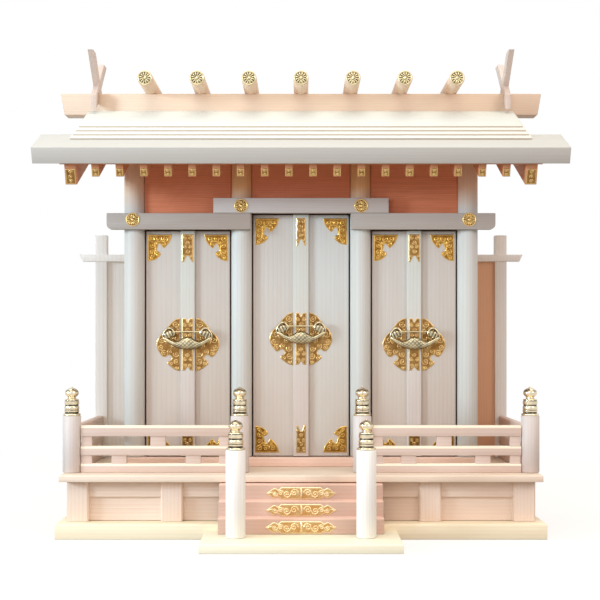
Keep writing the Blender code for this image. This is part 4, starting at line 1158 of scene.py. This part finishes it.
@dataclass
class Finials:
    """Turned brass finials on the veranda and stair posts."""

    sides: int = 64
    knots: tuple = (
        (0.0, 33.3), (0.35, 32.9), (0.8, 32.0), (2.2, 31.2), (4.9, 29.9), (6.9, 28.0), (7.7, 25.9),
        (7.4, 23.9), (6.2, 22.2), (4.9, 21.2), (4.4, 20.4))
    steps: tuple = (
        (4.7, 20.3), (4.8, 19.7), (4.6, 19.3), (5.4, 18.9), (6.8, 18.6), (7.8, 18.2), (8.1, 17.6),
        (8.1, 17.3), (7.6, 17.1), (7.6, 16.5), (8.15, 16.3), (8.2, 12.9), (8.1, 12.6), (7.5, 12.4),
        (7.5, 10.8), (8.1, 10.4), (8.25, 10.1), (8.3, 7.0), (8.2, 6.8), (7.8, 6.6), (7.8, 6.1), (8.3, 5.9),
        (8.45, 4.4), (8.3, 4.2), (7.8, 4.0), (7.8, 2.5), (9.2, 2.2), (9.8, 1.7), (9.95, 1.0), (9.8, 0.3),
        (9.6, 0.0), (0.0, 0.0))
    sunk_steps: tuple = (8, 9, 13, 14, 19, 20, 24, 25)
    reflection_band: float = 0.85
    reflection_band_height: float = 27.9
    reflection_band_width: float = 0.95
    nominal_height: float = 33.3

    def shell(self, radius: float, height: float) -> Shell:
        """Works out one finial about its own axis, standing on zero height.

        The grooves are dark all the way round with painted shade and dark reflection. Round the bulb runs a
        painted dark reflection line whose strength is a bell curve of the height above or below it.
        """
        bulb = smooth_path(np.array(self.knots), 6)
        rows = np.concatenate([bulb, np.array(self.steps)])
        widest = max(row[0] for row in self.steps)
        scale = np.array([radius / widest, height / self.nominal_height])
        shell = turned(rows * scale, self.sides)
        groove = np.zeros(len(rows))
        start = len(bulb)
        # Painted shade and dark reflection in the grooves.
        groove[[start + number for number in self.sunk_steps]] = 1.0
        band = np.exp(-((bulb[:, 1] - self.reflection_band_height) / self.reflection_band_width) ** 2)
        groove[:start] = self.reflection_band * band
        shell.recess = turned_recess(self.sides, groove)
        return shell

    def build(self) -> None:
        """Makes the six finials."""
        for side in Side:
            word = side.name.lower()
            for place in ("stair", "landing", "corner"):
                node = f"{place}_finial_{word}"
                box = Box.of(node)
                shell = self.shell(box.size[0] / 2, box.size[2])
                shell.points = shell.points + np.array([*box.middle[:2], box.low[2]])
                make_piece(f"{node}_turned", shell, body_of(node),
                           POLISHED_BRASS.material(), (node,))


@dataclass
class Doors:
    """The leaves with their meeting strips, corner mounts, medallions and locks."""

    corner_knots: tuple = (
        (28.0, -2.2), (27.0, -5.5), (25.6, -9.0), (22.6, -12.8), (19.2, -16.0), (17.6, -15.8),
        (16.3, -13.2), (14.4, -11.3), (12.6, -11.2), (11.7, -13.6), (10.6, -17.0), (10.2, -19.4),
        (11.8, -20.0), (14.3, -21.6), (15.0, -23.7), (12.4, -27.0), (8.6, -29.8), (3.9, -31.4))
    corner_inset: float = 3.0 * MM
    top_inset: float = 4.0 * MM
    half_knots: tuple = (
        (14.3, 30.6), (18.8, 27.2), (23.3, 22.2), (27.6, 16.2), (32.6, 11.6), (36.0, 6.4), (37.5, 0.0),
        (36.2, -6.2), (33.0, -11.6), (29.6, -14.8), (26.6, -14.7), (24.2, -12.9), (21.2, -13.2),
        (19.4, -16.0), (20.8, -18.6), (24.4, -21.4), (23.2, -24.2), (18.5, -28.2), (13.2, -31.1))
    medallion_drop: float = 1.3 * MM
    strip_gap: float = 0.5 * MM
    strip_strand: float = 0.45 * MM
    side_margin: float = 1.8 * MM
    centre_margin: float = 3.8 * MM
    band_half: float = 6.4 * MM
    strip_mount_length: float = 33.0 * MM
    notch_depth: float = 7.0 * MM
    medallion_notch: float = 4.6 * MM
    seat: float = 0.02 * MM
    leaf_edge: float = 0.55 * MM

    @staticmethod
    def leaf(doorway: Doorway, side: Side) -> str:
        """Gives the name of a leaf's solid."""
        return f"door_{doorway.value}_leaf_{side.name.lower()}"

    def corner_outline(self) -> np.ndarray:
        """Gives the corner mount's outline from its own corner, X inwards and Z up."""
        curve = smooth_path(np.array(self.corner_knots), 6)
        straight = np.array([(0.0, -31.7), (0.0, 0.0), (28.3, 0.0)])
        return np.concatenate([curve, straight]) * MM

    def corner_strands(self) -> list[np.ndarray]:
        """Gives the tendrils of a corner mount."""
        rows = [(5.0, -5.0, 3.6, 200, 1), (12.8, -5.2, 3.5, 20, -1), (20.6, -5.3, 3.8, 200, 1),
                (18.6, -11.6, 2.6, 100, -1), (5.2, -13.0, 3.7, 90, -1), (5.0, -21.2, 3.8, 270, 1),
                (11.3, -23.8, 2.7, 170, -1), (4.6, -28.0, 2.2, 60, 1), (10.6, -10.2, 1.9, 150, 1)]
        branch = stem([(25.8, -3.2), (17.0, -8.6), (9.0, -8.9), (8.8, -17.0), (7.6, -25.6), (2.6, -30.2)])
        return [*paths_of(scrolls_of(rows)), branch]

    def corner_mounts(self, doorway: Doorway, side: Side) -> None:
        """Makes the mounts at the top and bottom corners of a leaf, on its hinge side."""
        node = self.leaf(doorway, side)
        hinge_x = self.hinge_side(doorway, side)
        face_y = self.leaf_face(doorway)
        low, high = self.leaf_heights(doorway)
        shells = []
        for upright, corner_z in ((False, high - self.top_inset), (True, low + self.top_inset)):
            across = side is Side.RIGHT
            outline = flip(self.corner_outline(), across, upright)
            strands = [flip(strand, across, upright) for strand in self.corner_strands()]
            offset = np.array([hinge_x - side.value * self.corner_inset, face_y - self.seat, corner_z])
            shells.append(relief_shell(outline, strands, Relief(), offset))
        make_piece(f"{node}_corner_mounts", join_shells(shells), body_of(node),
                   CORNER_GILT.material())

    def hinge_side(self, doorway: Doorway, side: Side) -> float:
        """Gives the X of a leaf's hinge side."""
        box = Box.of(self.leaf(doorway, side))
        return box.low[0] if side is Side.LEFT else box.high[0]

    def leaf_face(self, doorway: Doorway) -> float:
        """Gives the Y of the leaves' front faces, read from the plain right leaf."""
        return Box.of(self.leaf(doorway, Side.RIGHT)).low[1]

    def strip_face(self, doorway: Doorway) -> float:
        """Gives the Y of the meeting strip's front face, which is the left leaf's foremost."""
        return Box.of(self.leaf(doorway, Side.LEFT)).low[1]

    def leaf_heights(self, doorway: Doorway) -> tuple[float, float]:
        """Gives the lowest and highest Z of a leaf without its pivots."""
        coords = corners_of(self.leaf(doorway, Side.LEFT))
        strip = coords[coords[:, 1] < self.strip_face(doorway) + 0.2 * MM]
        return float(strip[:, 2].min()), float(strip[:, 2].max())

    def strip_middle(self, doorway: Doorway) -> tuple[float, float]:
        """Gives the meeting strip's middle X and half width."""
        coords = corners_of(self.leaf(doorway, Side.LEFT))
        strip = coords[coords[:, 1] < self.leaf_face(doorway) - 1 * MM]
        return float(strip[:, 0].min() + strip[:, 0].max()) / 2, float(np.ptp(strip[:, 0])) / 2

    def strip_mounts(self, doorway: Doorway) -> None:
        """Makes the swallow-tailed mounts at the two ends of the meeting strip."""
        middle, strip_half = self.strip_middle(doorway)
        low, high = self.leaf_heights(doorway)
        half = strip_half - (self.centre_margin if doorway is Doorway.CENTRE else self.side_margin)
        length, notch = self.strip_mount_length, self.notch_depth
        outline = np.array([(-half, 0), (half, 0), (half, -length), (half * 0.72, -length),
                            (half * 0.2, notch - length), (-half * 0.2, notch - length),
                            (-half * 0.72, -length), (-half, -length)])
        rows = [(-2.7, -4.4, 2.3, 90, 1), (2.7, -4.4, 2.3, 90, -1), (0.0, -9.9, 2.6, 200, 1),
                (-2.7, -15.2, 2.2, 60, 1), (2.7, -15.2, 2.2, 120, -1), (0.0, -20.6, 2.4, 20, -1),
                (-3.9, -26.4, 1.5, 90, 1), (3.9, -26.4, 1.5, 90, -1)]
        strands = paths_of(scrolls_of(rows, half_width=self.strip_strand))
        shells = []
        for upright, end_z in ((False, high - self.top_inset), (True, low + self.top_inset)):
            offset = np.array([middle, self.strip_face(doorway) - self.seat, end_z])
            turned_strands = [flip(strand, False, upright) for strand in strands]
            shells.append(relief_shell(flip(outline, False, upright), turned_strands, Relief(), offset))
        make_piece(f"door_{doorway.value}_strip_mounts", join_shells(shells),
                   body_of(self.leaf(doorway, Side.LEFT)), GILT.material())

    def medallion(self, doorway: Doorway) -> None:
        """Makes the round medallion in three parts: on each leaf and on the meeting strip."""
        middle, strip_half = self.strip_middle(doorway)
        lock = Box.of(f"door_{doorway.value}_lock")
        centre_z = lock.middle[2] - self.medallion_drop
        inner = strip_half + self.strip_gap
        curve = smooth_path(np.array(self.half_knots), 6) * MM
        outline = np.concatenate([[(inner, 31.3 * MM)], curve, [(inner, -31.9 * MM)]])
        rows = [(14.6, 24.0, 4.2, 180, 1), (20.0, 18.4, 4.0, 40, -1), (13.2, 15.2, 2.8, 100, 1),
                (24.6, 11.8, 3.6, 210, 1), (30.6, 5.2, 4.2, 40, -1), (32.0, -3.6, 3.4, 250, 1),
                (28.8, -10.4, 3.3, 120, -1), (21.8, -8.8, 3.2, 300, 1), (13.8, -12.0, 3.6, 20, -1),
                (13.6, -20.6, 3.9, 200, 1), (20.2, -22.6, 3.0, 90, -1), (13.4, -28.0, 2.2, 160, 1),
                (18.6, 7.4, 3.4, 160, 1), (12.4, 5.0, 2.4, 20, -1), (24.4, 3.2, 2.6, 300, 1),
                (17.0, -2.4, 2.8, 60, -1)]
        scrolls = scrolls_of(rows)
        relief = Relief(pitch=0.5 * MM)
        for side in Side:
            node = self.leaf(doorway, side)
            across = side is Side.LEFT
            strands = paths_of([scroll.mirrored(across, False) for scroll in scrolls])
            offset = np.array([middle, self.leaf_face(doorway) - self.seat, centre_z])
            shell = relief_shell(flip(outline, across, False), strands, relief, offset)
            make_piece(f"{node}_medallion", shell, body_of(node), GILT.material())
        half, top, notch = self.band_half, 31.0 * MM, self.medallion_notch
        band = np.array([
            (-half, top), (-half * 0.35, top), (0.0, top - notch), (half * 0.35, top), (half, top),
            (half, -top), (half * 0.5, -top), (0.0, notch - top), (-half * 0.5, -top), (-half, -top)])
        rows = [(-3.0, 23.0, 2.5, 90, 1), (3.0, 23.0, 2.5, 90, -1), (0.0, 16.6, 2.6, 0, 1),
                (-3.0, 11.4, 2.3, 270, 1), (3.0, 11.4, 2.3, 270, -1), (0.0, -12.4, 2.6, 180, 1),
                (-3.0, -18.0, 2.4, 90, 1), (3.0, -18.0, 2.4, 90, -1), (-3.2, -25.0, 2.3, 270, 1),
                (3.2, -25.0, 2.3, 270, -1)]
        strands = paths_of(scrolls_of(rows, half_width=self.strip_strand))
        offset = np.array([middle, self.strip_face(doorway) - self.seat, centre_z])
        make_piece(f"door_{doorway.value}_strip_medallion", relief_shell(band, strands, Relief(), offset),
                   body_of(self.leaf(doorway, Side.LEFT)), GILT.material())

    def on_rim(self, doorway: Doorway, side: Side) -> Rule:
        """Gives the rule for a leaf's rim along its hinge side, top and bottom, which gets painted shade
        for the dark gap round it.
        """
        hinge_x = self.hinge_side(doorway, side)
        low, high = self.leaf_heights(doorway)
        rim = self.leaf_edge * 1.05

        def rule(at: np.ndarray, _: np.ndarray) -> np.ndarray:
            return (np.abs(at[:, 0] - hinge_x) < rim) | (at[:, 2] > high - rim) | (at[:, 2] < low + rim)

        return rule

    def build(self, timber: Timber) -> None:
        """Makes the leaves and all their mounts."""
        for doorway in Doorway:
            for side in Side:
                pale = doorway is Doorway.CENTRE and side is Side.RIGHT
                leaf = timber.eased(self.leaf(doorway, side), PALE_DOOR_WOOD if pale else DOOR_WOOD,
                                    Grain.ALONG_Z, edge=self.leaf_edge)
                # The rim gets painted shade for the gap round the leaf.
                timber.recut(leaf, GAP_SHADE_WOOD, Grain.ALONG_Z, self.on_rim(doorway, side))
                if side is Side.LEFT:
                    face = self.leaf_face(doorway) - 0.1 * MM
                    timber.recut(leaf, STRIP_WOOD, Grain.ALONG_Z, lambda at, _, face=face: at[:, 1] < face)
                self.corner_mounts(doorway, side)
            self.strip_mounts(doorway)
            self.medallion(doorway)
            Lock(doorway).build()


@dataclass
class Lock:
    """A shrimp lock: a scaled crescent whose horns carry a straight bar."""

    doorway: Doorway
    around: int = 40
    along: int = 121
    underside: tuple = ((0.0, -7.5), (5.0, -7.3), (10.0, -6.3), (15.0, -4.4), (20.0, -1.5), (24.0, 1.3),
                        (27.0, 3.6), (28.3, 4.8), (28.8, 5.6))
    topside: tuple = ((0.0, 7.6), (3.0, 7.4), (6.0, 6.2), (9.0, 4.2), (12.0, 2.6), (15.0, 2.3), (19.0, 3.9),
                      (23.0, 6.0), (26.5, 7.6), (28.2, 7.7), (28.8, 6.6))
    half_depth: float = 3.6 * MM
    bar_radius: float = 0.8 * MM
    bar_rise: float = 13.8 * MM
    bar_reach: float = 17.0 * MM
    scale_rise: float = 0.35 * MM
    leaf_place: tuple = (21.2 * MM, 11.0 * MM)
    leaf_size: tuple = (13.5 * MM, 8.4 * MM, 3.4 * MM)
    leaf_slant: float = 0.45
    horn_knots: tuple = ((28.3, 4.4), (28.9, 8.6), (27.0, 13.6), (23.6, 17.3), (19.8, 17.4), (17.0, 14.8),
                         (15.6, 11.4), (17.2, 8.8))
    stud_radius: float = 2.6 * MM
    stud_foot: float = 0.3 * MM

    def middle_y(self, box: Box) -> float:
        """Gives the Y of the body's middle, set back from the box's front."""
        return box.low[1] + self.half_depth + self.scale_rise

    def crescent(self, box: Box) -> Shell:
        """Works out the body as an oval carried along a rising arc.

        Along the body u runs from -1 to 1. The underside and the upper side are read from their
        tables of distance and height, and the oval's depth narrows with the root of 1 - u
        squared. Over the middle, scales stand out by the product of two waves.

        Args:
            box: The box of the plain lock.

        Returns:
            The closed surface.
        """
        half = box.size[0] / 2
        share = np.sin(np.linspace(-1, 1, self.along) * math.pi / 2)[1:-1]
        middle, across = box.middle[2], np.abs(share) * half / MM
        lower = middle + np.interp(across, *np.array(self.underside).T) * MM
        upper = middle + np.interp(across, *np.array(self.topside).T) * MM
        fade = np.sqrt(np.clip(1 - share ** 2, 0, 1))
        centre_z, half_z = (lower + upper) / 2, (upper - lower) / 2
        half_y = self.half_depth * fade ** 0.8
        angle = np.arange(self.around) * 2 * math.pi / self.around
        scale_u, scale_t = share[:, None] * 19.0, angle[None, :] * 10.0
        scale = np.abs(np.sin(scale_u + scale_t / 2) * np.sin(scale_u - scale_t / 2)) ** 0.7
        zone = np.clip((0.62 - np.abs(share)) / 0.08, 0, 1)[:, None]
        groove = np.abs(np.sin(angle * 4))[None, :] ** 0.6 * (1 - zone)
        rise = self.scale_rise * (zone * scale + groove * 0.8 * fade[:, None])
        y = -(half_y[:, None] + rise) * np.cos(angle)
        z = centre_z[:, None] + (half_z[:, None] + rise * 0.4) * np.sin(angle)
        x = np.broadcast_to((box.middle[0] + half * share)[:, None], y.shape)
        centre_y = self.middle_y(box)
        ring = np.stack([x, centre_y + y, z], axis=-1).reshape(-1, 3)
        tips = np.array([[box.low[0], centre_y, centre_z[0]], [box.high[0], centre_y, centre_z[-1]]])
        between = np.clip(1.15 - (zone * scale * 1.25 + groove * 1.5), 0, 1)
        sunk = between * np.clip(fade[:, None] * 2 - 0.3, 0, 1)
        recess = np.concatenate([sunk.reshape(-1), np.zeros(2)])
        return Shell(np.concatenate([ring, tips]), ring_faces(len(share), self.around, True), recess)

    def tube(self, path: np.ndarray, radii: np.ndarray, sides: int = 16, inner: float = 0.0) -> Shell:
        """Works out a round tube along a path that lies in an upright plane.

        Each ring is the path's point plus the radius times a circle between the path's normal
        in the XZ plane and the Y axis. The ends are closed by points on the path.

        Args:
            path: Rows of X, Y and Z.
            radii: The radius at each row.
            sides: The number of steps round the tube.
            inner: How much painted shade the side away from the path's normal gets, from 0 to 1.

        Returns:
            The closed surface.
        """
        along = np.gradient(path, axis=0)
        along = along / np.linalg.norm(along, axis=1, keepdims=True)
        depth = np.array([0.0, 1.0, 0.0])
        normal = np.cross(depth, along)
        normal = normal / np.linalg.norm(normal, axis=1, keepdims=True)
        angle = np.arange(sides) * 2 * math.pi / sides
        circle = normal[:, None] * np.cos(angle)[None, :, None] + depth * np.sin(angle)[None, :, None]
        ring = path[:, None] + radii[:, None, None] * circle
        points = np.concatenate([ring.reshape(-1, 3), path[[0, -1]]])
        # Painted shade on the side away from the path's normal.
        shade = inner * np.clip(0.35 - 1.6 * np.cos(angle), 0, 1)
        recess = np.concatenate([np.tile(shade, len(path)), np.zeros(2)])
        return Shell(points, ring_faces(len(path), sides, True), recess)

    def leaf(self, box: Box, side: Side) -> Shell:
        """Works out the veined leaf that fills a horn's curl.

        A ball is drawn out along a slanting axis, flattened from front to back and narrowed
        towards its upper end. Its veins are dark where the sine of the way along is small.

        Args:
            box: The box of the plain lock.
            side: The side that it lies on.

        Returns:
            The closed surface.
        """
        turn = np.linspace(0, math.pi, 29)
        ball = turned(np.stack([np.sin(turn), np.cos(turn)], axis=-1), 24)
        along = -ball.points[:, 2]
        wide = ball.points[:, 0] * (1 - 0.4 * along) * self.leaf_size[1] / 2
        length = along * self.leaf_size[0] / 2
        slant = self.leaf_slant
        x = self.leaf_place[0] - length * math.cos(slant) + wide * math.sin(slant)
        z = self.leaf_place[1] + length * math.sin(slant) + wide * math.cos(slant)
        y = side.value * ball.points[:, 1] * self.leaf_size[2] / 2
        centre_y = self.middle_y(box)
        places = [box.middle[0] + side.value * x, centre_y + y, box.middle[2] + z]
        ball.points = np.stack(places, axis=-1)
        ball.recess = np.clip(1.6 - np.abs(np.sin(along * 6.0)) * 1.5, 0, 1)
        return ball

    def horns(self, box: Box) -> list[Shell]:
        """Works out the two leaf-shaped horns that curl from the tips up to the bar."""
        centre_y = self.middle_y(box)
        shells = []
        curve = smooth_path(np.array(self.horn_knots), 6) * MM
        for side in Side:
            path = np.stack([box.middle[0] + side.value * curve[:, 0],
                             np.full(len(curve), centre_y), box.middle[2] + curve[:, 1]], axis=-1)
            share = np.linspace(0, 1, len(curve))
            radii = (0.5 + 1.1 * np.sin(share * math.pi) ** 0.8) * MM
            if side is Side.LEFT:
                path, radii = path[::-1], radii[::-1]
            # The horns' inner sides get painted shade.
            shells.append(self.tube(path, radii, inner=0.9))
        return shells

    def bar(self, box: Box) -> Shell:
        """Works out the thin straight bar between the horns."""
        centre_y = self.middle_y(box)
        across = np.linspace(-self.bar_reach, self.bar_reach, 25)
        height = box.middle[2] + self.bar_rise
        path = np.stack([box.middle[0] + across, np.full(25, centre_y), np.full(25, height)], axis=-1)
        return self.tube(path, np.full(25, self.bar_radius))

    def stud(self, box: Box) -> Shell:
        """Works out the round stud that carries the body on the strip."""
        radius, foot, depth = self.stud_radius, self.stud_foot, box.high[1] - box.middle[1]
        rows = [(0, 0), (radius, 0), (radius * 1.1, -depth + 2 * foot), (radius * 1.5, -depth + foot),
                (radius * 1.5, -depth), (0, -depth)]
        shell = turned(np.array(rows), 32)
        shell.points = lay_to_front(shell.points, box.middle)
        return shell

    def build(self) -> None:
        """Makes the lock as one piece."""
        node = f"door_{self.doorway.value}_lock"
        box = Box.of(node)
        leaves = [self.leaf(box, side) for side in Side]
        shells = [self.crescent(box), *self.horns(box), *leaves, self.bar(box), self.stud(box)]
        make_piece(f"{node}_chased", join_shells(shells), body_of(node),
                   BRIGHT_BRASS.material(), (node,))


@dataclass
class RoofMounts:
    """The gilt plates on the rafters' front ends and the rosettes on the lintels."""

    slope: float = math.radians(23.0)
    small_plate: tuple = (3.9 * MM, 8.7 * MM)
    verge_plate: tuple = (5.6 * MM, 17.4 * MM)
    foot_margin: float = 0.7 * MM
    rosette_radius: float = 8.0 * MM
    rosette_petals: int = 16
    outer_rosette_rise: float = 0.6
    inner_rosette_rise: float = 0.48
    seat: float = 0.02 * MM

    def rafter_feet(self) -> list[np.ndarray]:
        """Finds the middle of the lowest front edge of each rafter.

        Those edges lie more than 10 mm below the foremost upper corners of the soffit.

        Returns:
            A point for each rafter, followed by its width.
        """
        coords = corners_of("rafters_front")
        near = coords[coords[:, 1] < coords[:, 1].min() + 20 * MM]
        low = near[near[:, 2] < near[:, 2].max() - 10 * MM]
        feet = []
        for group in groups_of(low[:, 0], 15 * MM):
            rows = low[(low[:, 0] > group.min() - 0.1 * MM) & (low[:, 0] < group.max() + 0.1 * MM)]
            feet.append(np.array([group.mean(), rows[:, 1].mean(), rows[:, 2].mean(), np.ptp(group)]))
        return feet

    def plate(self, size: tuple, foot: np.ndarray) -> Shell:
        """Works out the plate on one rafter's end.

        The plate is drawn upright with its lower middle at zero, then turned by the slope
        about X, so that it leans over as the rafter's end does, and set on the foot.

        Args:
            size: Its half width and its height.
            foot: The middle of the rafter's lowest front edge.

        Returns:
            The closed surface.
        """
        half, height = size
        outline = np.array([(-half, 0), (-half, height), (half, height), (half, 0)])
        reach = half * 0.47
        places = [(-0.06 * half, height - reach * 1.35, 0, 1), (0.06 * half, reach * 1.35, 180, 1)]
        if height > 3 * half:
            places = [(0.0, height * 0.8, 20, 1), (0.0, height * 0.5, 200, -1), (0.0, height * 0.2, 20, 1)]
            reach = height * 0.125
        strands = [Scroll(x, z, reach, start, hand, 1.15, 0.55 * MM).path() for x, z, start, hand in places]
        shell = relief_shell(outline, strands, Relief(pitch=0.35 * MM), np.zeros(3))
        x, y, z = (shell.points + np.array([0, -self.seat, self.foot_margin])).T
        cosine, sine = math.cos(self.slope), math.sin(self.slope)
        shell.points = np.stack([x + foot[0], foot[1] + y * cosine - z * sine,
                                 foot[2] + y * sine + z * cosine], axis=-1)
        return shell

    def rosettes(self) -> None:
        """Makes a rosette where each lintel crosses a column."""
        for side in Side:
            word = side.name.lower()
            for lintel, row, rise in ((f"lintel_{word}", "outer", self.outer_rosette_rise),
                                      ("lintel_centre", "inner", self.inner_rosette_rise)):
                board, column = Box.of(lintel), Box.of(f"column_{row}_{word}")
                level = board.low[2] + rise * board.size[2]
                centre = np.array([column.middle[0], board.low[1] - self.seat, level])
                cap = flower_cap(self.rosette_radius, self.rosette_petals)
                cap.points = lay_to_front(cap.points, centre)
                make_piece(f"rosette_{row}_{word}", cap, "shrine", ROSETTE_BRASS.material())

    def build(self) -> None:
        """Makes all the plates and rosettes."""
        feet = self.rafter_feet()
        narrow = min(foot[3] for foot in feet)
        shells = [self.plate(self.small_plate if foot[3] < narrow + 1 * MM else self.verge_plate, foot)
                  for foot in feet]
        make_piece("rafter_plates", join_shells(shells), "shrine", GILT.material())
        LOG.info("%d rafter plates", len(feet))
        self.rosettes()


@dataclass
class StepPlates:
    """The long pointed plates on the three risers."""

    count: int = 3
    rise: float = 7.3 * MM
    seat: float = 0.02 * MM
    tip_knots: tuple = ((25.2, 4.0), (26.6, 4.7), (28.2, 5.6), (30.6, 5.4), (33.2, 3.8), (36.4, 1.7))

    def outline(self) -> np.ndarray:
        """Gives the plate's outline about its middle."""
        knots = np.array([(22.0, 6.7), (23.8, 4.9), *self.tip_knots, (40.0, 0.0)])
        upper = smooth_path(knots, 5) * MM
        right = np.concatenate([upper, flip(upper[::-1][1:], False, True)])
        return np.concatenate([right, flip(right, True, True)])

    def strands(self) -> list[np.ndarray]:
        """Gives the plate's tendrils about a bud in the middle."""
        rows = [(7.4, 0.6, 4.2, 180, -1), (15.6, -0.6, 4.2, 180, 1), (22.4, 0.4, 2.8, 160, -1),
                (28.6, -0.4, 3.0, 180, 1)]
        scrolls = scrolls_of(rows, 1.4, 0.6 * MM)
        strands = paths_of([*scrolls, *(scroll.mirrored(True, False) for scroll in scrolls)])
        strands.append(stem([(0.0, -4.6), (0.7, 0.0), (0.0, 4.8)], 1.3 * MM))
        for sign in (-1, 1):
            strands.append(stem([(sign * 31.0, 1.6), (sign * 34.5, 0.4), (sign * 38.4, 0.0)], 0.6 * MM))
        return strands

    def build(self) -> None:
        """Makes one plate on each riser."""
        coords = corners_of("stairs")
        box = Box.of("stairs")
        step = (box.high[2] - box.low[2]) / self.count
        shells = []
        for number in range(self.count):
            foot = box.low[2] + number * step
            riser = coords[(coords[:, 2] > foot + 0.1 * step) & (coords[:, 2] < foot + 1.05 * step)]
            face = riser[:, 1].min()
            offset = np.array([0.0, face - self.seat, foot + self.rise])
            shells.append(relief_shell(self.outline(), self.strands(), Relief(pitch=0.5 * MM), offset))
        make_piece("step_plates", join_shells(shells), "shrine", PALE_GILT.material())


# Floor, light and camera


@dataclass
class Studio:
    """A plain pale floor, soft lamps and the camera."""

    frame_pixels: float = 600.0
    focal_pixels: float = 1262.0
    centre_pixel: tuple = (301.0, 340.0)
    camera_place: tuple = (0.0, -1.504, 0.2215)
    sensor: float = 36.0
    room_level: float = 0.57
    room_colour: tuple = (0.98, 0.96, 1.0, 1.0)
    floor_half: float = 6.0
    floor_drop: float = 0.4 * MM
    floor_tone: tuple = (0.30, 0.27, 0.24, 1.0)
    floor_glow: float = 0.72
    clear_from: float = 0.42
    clear_to: float = 1.1
    lamp_target: tuple = (0.0, 0.0, 0.25)
    lamps: tuple = (
        ("left_lamp", (-2.435, -1.295, 0.736), 0.55, 0.64, (0.66, 0.86, 1.0)),
        ("front_lamp", (-1.286, -2.418, 0.832), 1.6, 0.16, (0.88, 0.88, 1.0)),
        ("right_lamp", (1.737, -1.929, 1.299), 1.4, 0.25, (1.0, 0.83, 0.75)),
        ("high_lamp", (-0.336, -1.903, 1.99), 1.3, 0.17, (1.0, 1.0, 0.96)),
        ("top_lamp", (0.10, -0.248, 2.637), 2.6, 0.75, (0.98, 0.99, 0.86)),
    )

    def camera(self) -> None:
        """Makes the camera at the picture's viewing place, level and looking along Y."""
        data = bpy.data.cameras.new("camera")
        data.sensor_width = self.sensor
        data.lens = self.focal_pixels / self.frame_pixels * self.sensor
        half = self.frame_pixels / 2
        data.shift_x = (half - self.centre_pixel[0]) / self.frame_pixels
        data.shift_y = (self.centre_pixel[1] - half) / self.frame_pixels
        data.clip_start = 0.05
        camera = bpy.data.objects.new("camera", data)
        camera.location = self.camera_place
        camera.rotation_euler = (math.pi / 2, 0, 0)
        bpy.context.scene.collection.objects.link(camera)
        bpy.context.scene.camera = camera

    def lamp(self, name: str, place: tuple, size: float, level: float, colour: tuple) -> None:
        """Makes a square soft lamp whose power gives a white face the stated level.

        Args:
            name: The lamp's name.
            place: Where it stands.
            size: The side of its square.
            level: How bright a white face square to it looks.
            colour: Its colour.
        """
        data = bpy.data.lights.new(name, "AREA")
        data.size = size
        data.color = colour
        reach = np.array(self.lamp_target) - np.array(place)
        data.energy = level * math.pi ** 2 * float(reach @ reach)
        lamp = bpy.data.objects.new(name, data)
        lamp.location = place
        flat = math.hypot(reach[0], reach[1])
        lamp.rotation_euler = (math.atan2(flat, -reach[2]), 0, math.atan2(reach[1], reach[0]) - math.pi / 2)
        bpy.context.scene.collection.objects.link(lamp)

    def pale_rays(self, graph: Graph) -> bpy.types.NodeSocket:
        """Gives 1 for rays from the camera and for reflections and refractions, else 0."""
        path = graph.add("ShaderNodeLightPath").outputs
        mirrored = graph.math("MAXIMUM", path["Is Glossy Ray"], path["Is Transmission Ray"])
        return graph.math("MAXIMUM", path["Is Camera Ray"], mirrored)

    def world(self) -> None:
        """Makes a surround that looks white and lights the object with a weak, warm tone."""
        world = bpy.data.worlds.new("surround")
        world.use_nodes = True
        bpy.context.scene.world = world
        graph = Graph("surround", world.node_tree)
        ground = graph.tree.nodes["Background"]
        pale = self.pale_rays(graph)
        level = graph.rescale(pale, (0.0, 1.0), (self.room_level, 1.0))
        colour = graph.blend(pale, self.room_colour, (1.0, 1.0, 1.0, 1.0))
        graph.tree.links.new(level, ground.inputs["Strength"])
        graph.tree.links.new(colour, ground.inputs["Color"])

    def floor(self) -> None:
        """Makes the floor, which keeps the object's shadow and turns plain white further out."""
        half = self.floor_half
        mesh = bpy.data.meshes.new("floor")
        corners = [(-half, -half), (half, -half), (half, half), (-half, half)]
        mesh.from_pydata([(x, y, -self.floor_drop) for x, y in corners], [], [(0, 1, 2, 3)])
        graph = Graph("floor_paint")
        coords = graph.add("ShaderNodeTexCoord").outputs["Object"]
        reach = graph.add("ShaderNodeVectorMath", {0: coords}, operation="LENGTH").outputs["Value"]
        clear = graph.rescale(reach, (self.clear_from, self.clear_to), (0.0, 1.0))
        pale = self.pale_rays(graph)
        hidden = graph.math("MULTIPLY", clear, pale)
        strength = graph.math("MULTIPLY", pale, graph.rescale(clear, (0.0, 1.0), (self.floor_glow, 1.0)))
        glow = graph.add("ShaderNodeEmission", {"Color": (1.0, 1.0, 1.0, 1.0), "Strength": strength})
        tone = graph.blend(hidden, self.floor_tone, (0.0, 0.0, 0.0, 1.0))
        paint = graph.add("ShaderNodeBsdfDiffuse", {"Color": tone})
        both = graph.add("ShaderNodeAddShader", {0: glow.outputs[0], 1: paint.outputs[0]})
        mesh.materials.append(graph.finish(both.outputs[0]))
        floor = bpy.data.objects.new("floor", mesh)
        bpy.context.scene.collection.objects.link(floor)

    def build(self) -> None:
        """Sets up the whole studio."""
        bpy.context.scene.view_settings.view_transform = "Standard"
        self.camera()
        self.world()
        self.floor()
        for lamp in self.lamps:
            self.lamp(*lamp)


def main() -> None:
    """Builds the studio and every sub-assembly in order."""
    logging.basicConfig(level=logging.INFO, format="%(message)s")
    Studio().build()
    timber = Timber()
    timber.build()
    RoundTimber().build()
    Ridge().build()
    Finials().build()
    Doors().build(timber)
    RoofMounts().build()
    StepPlates().build()


if __name__ == "__main__":
    main()
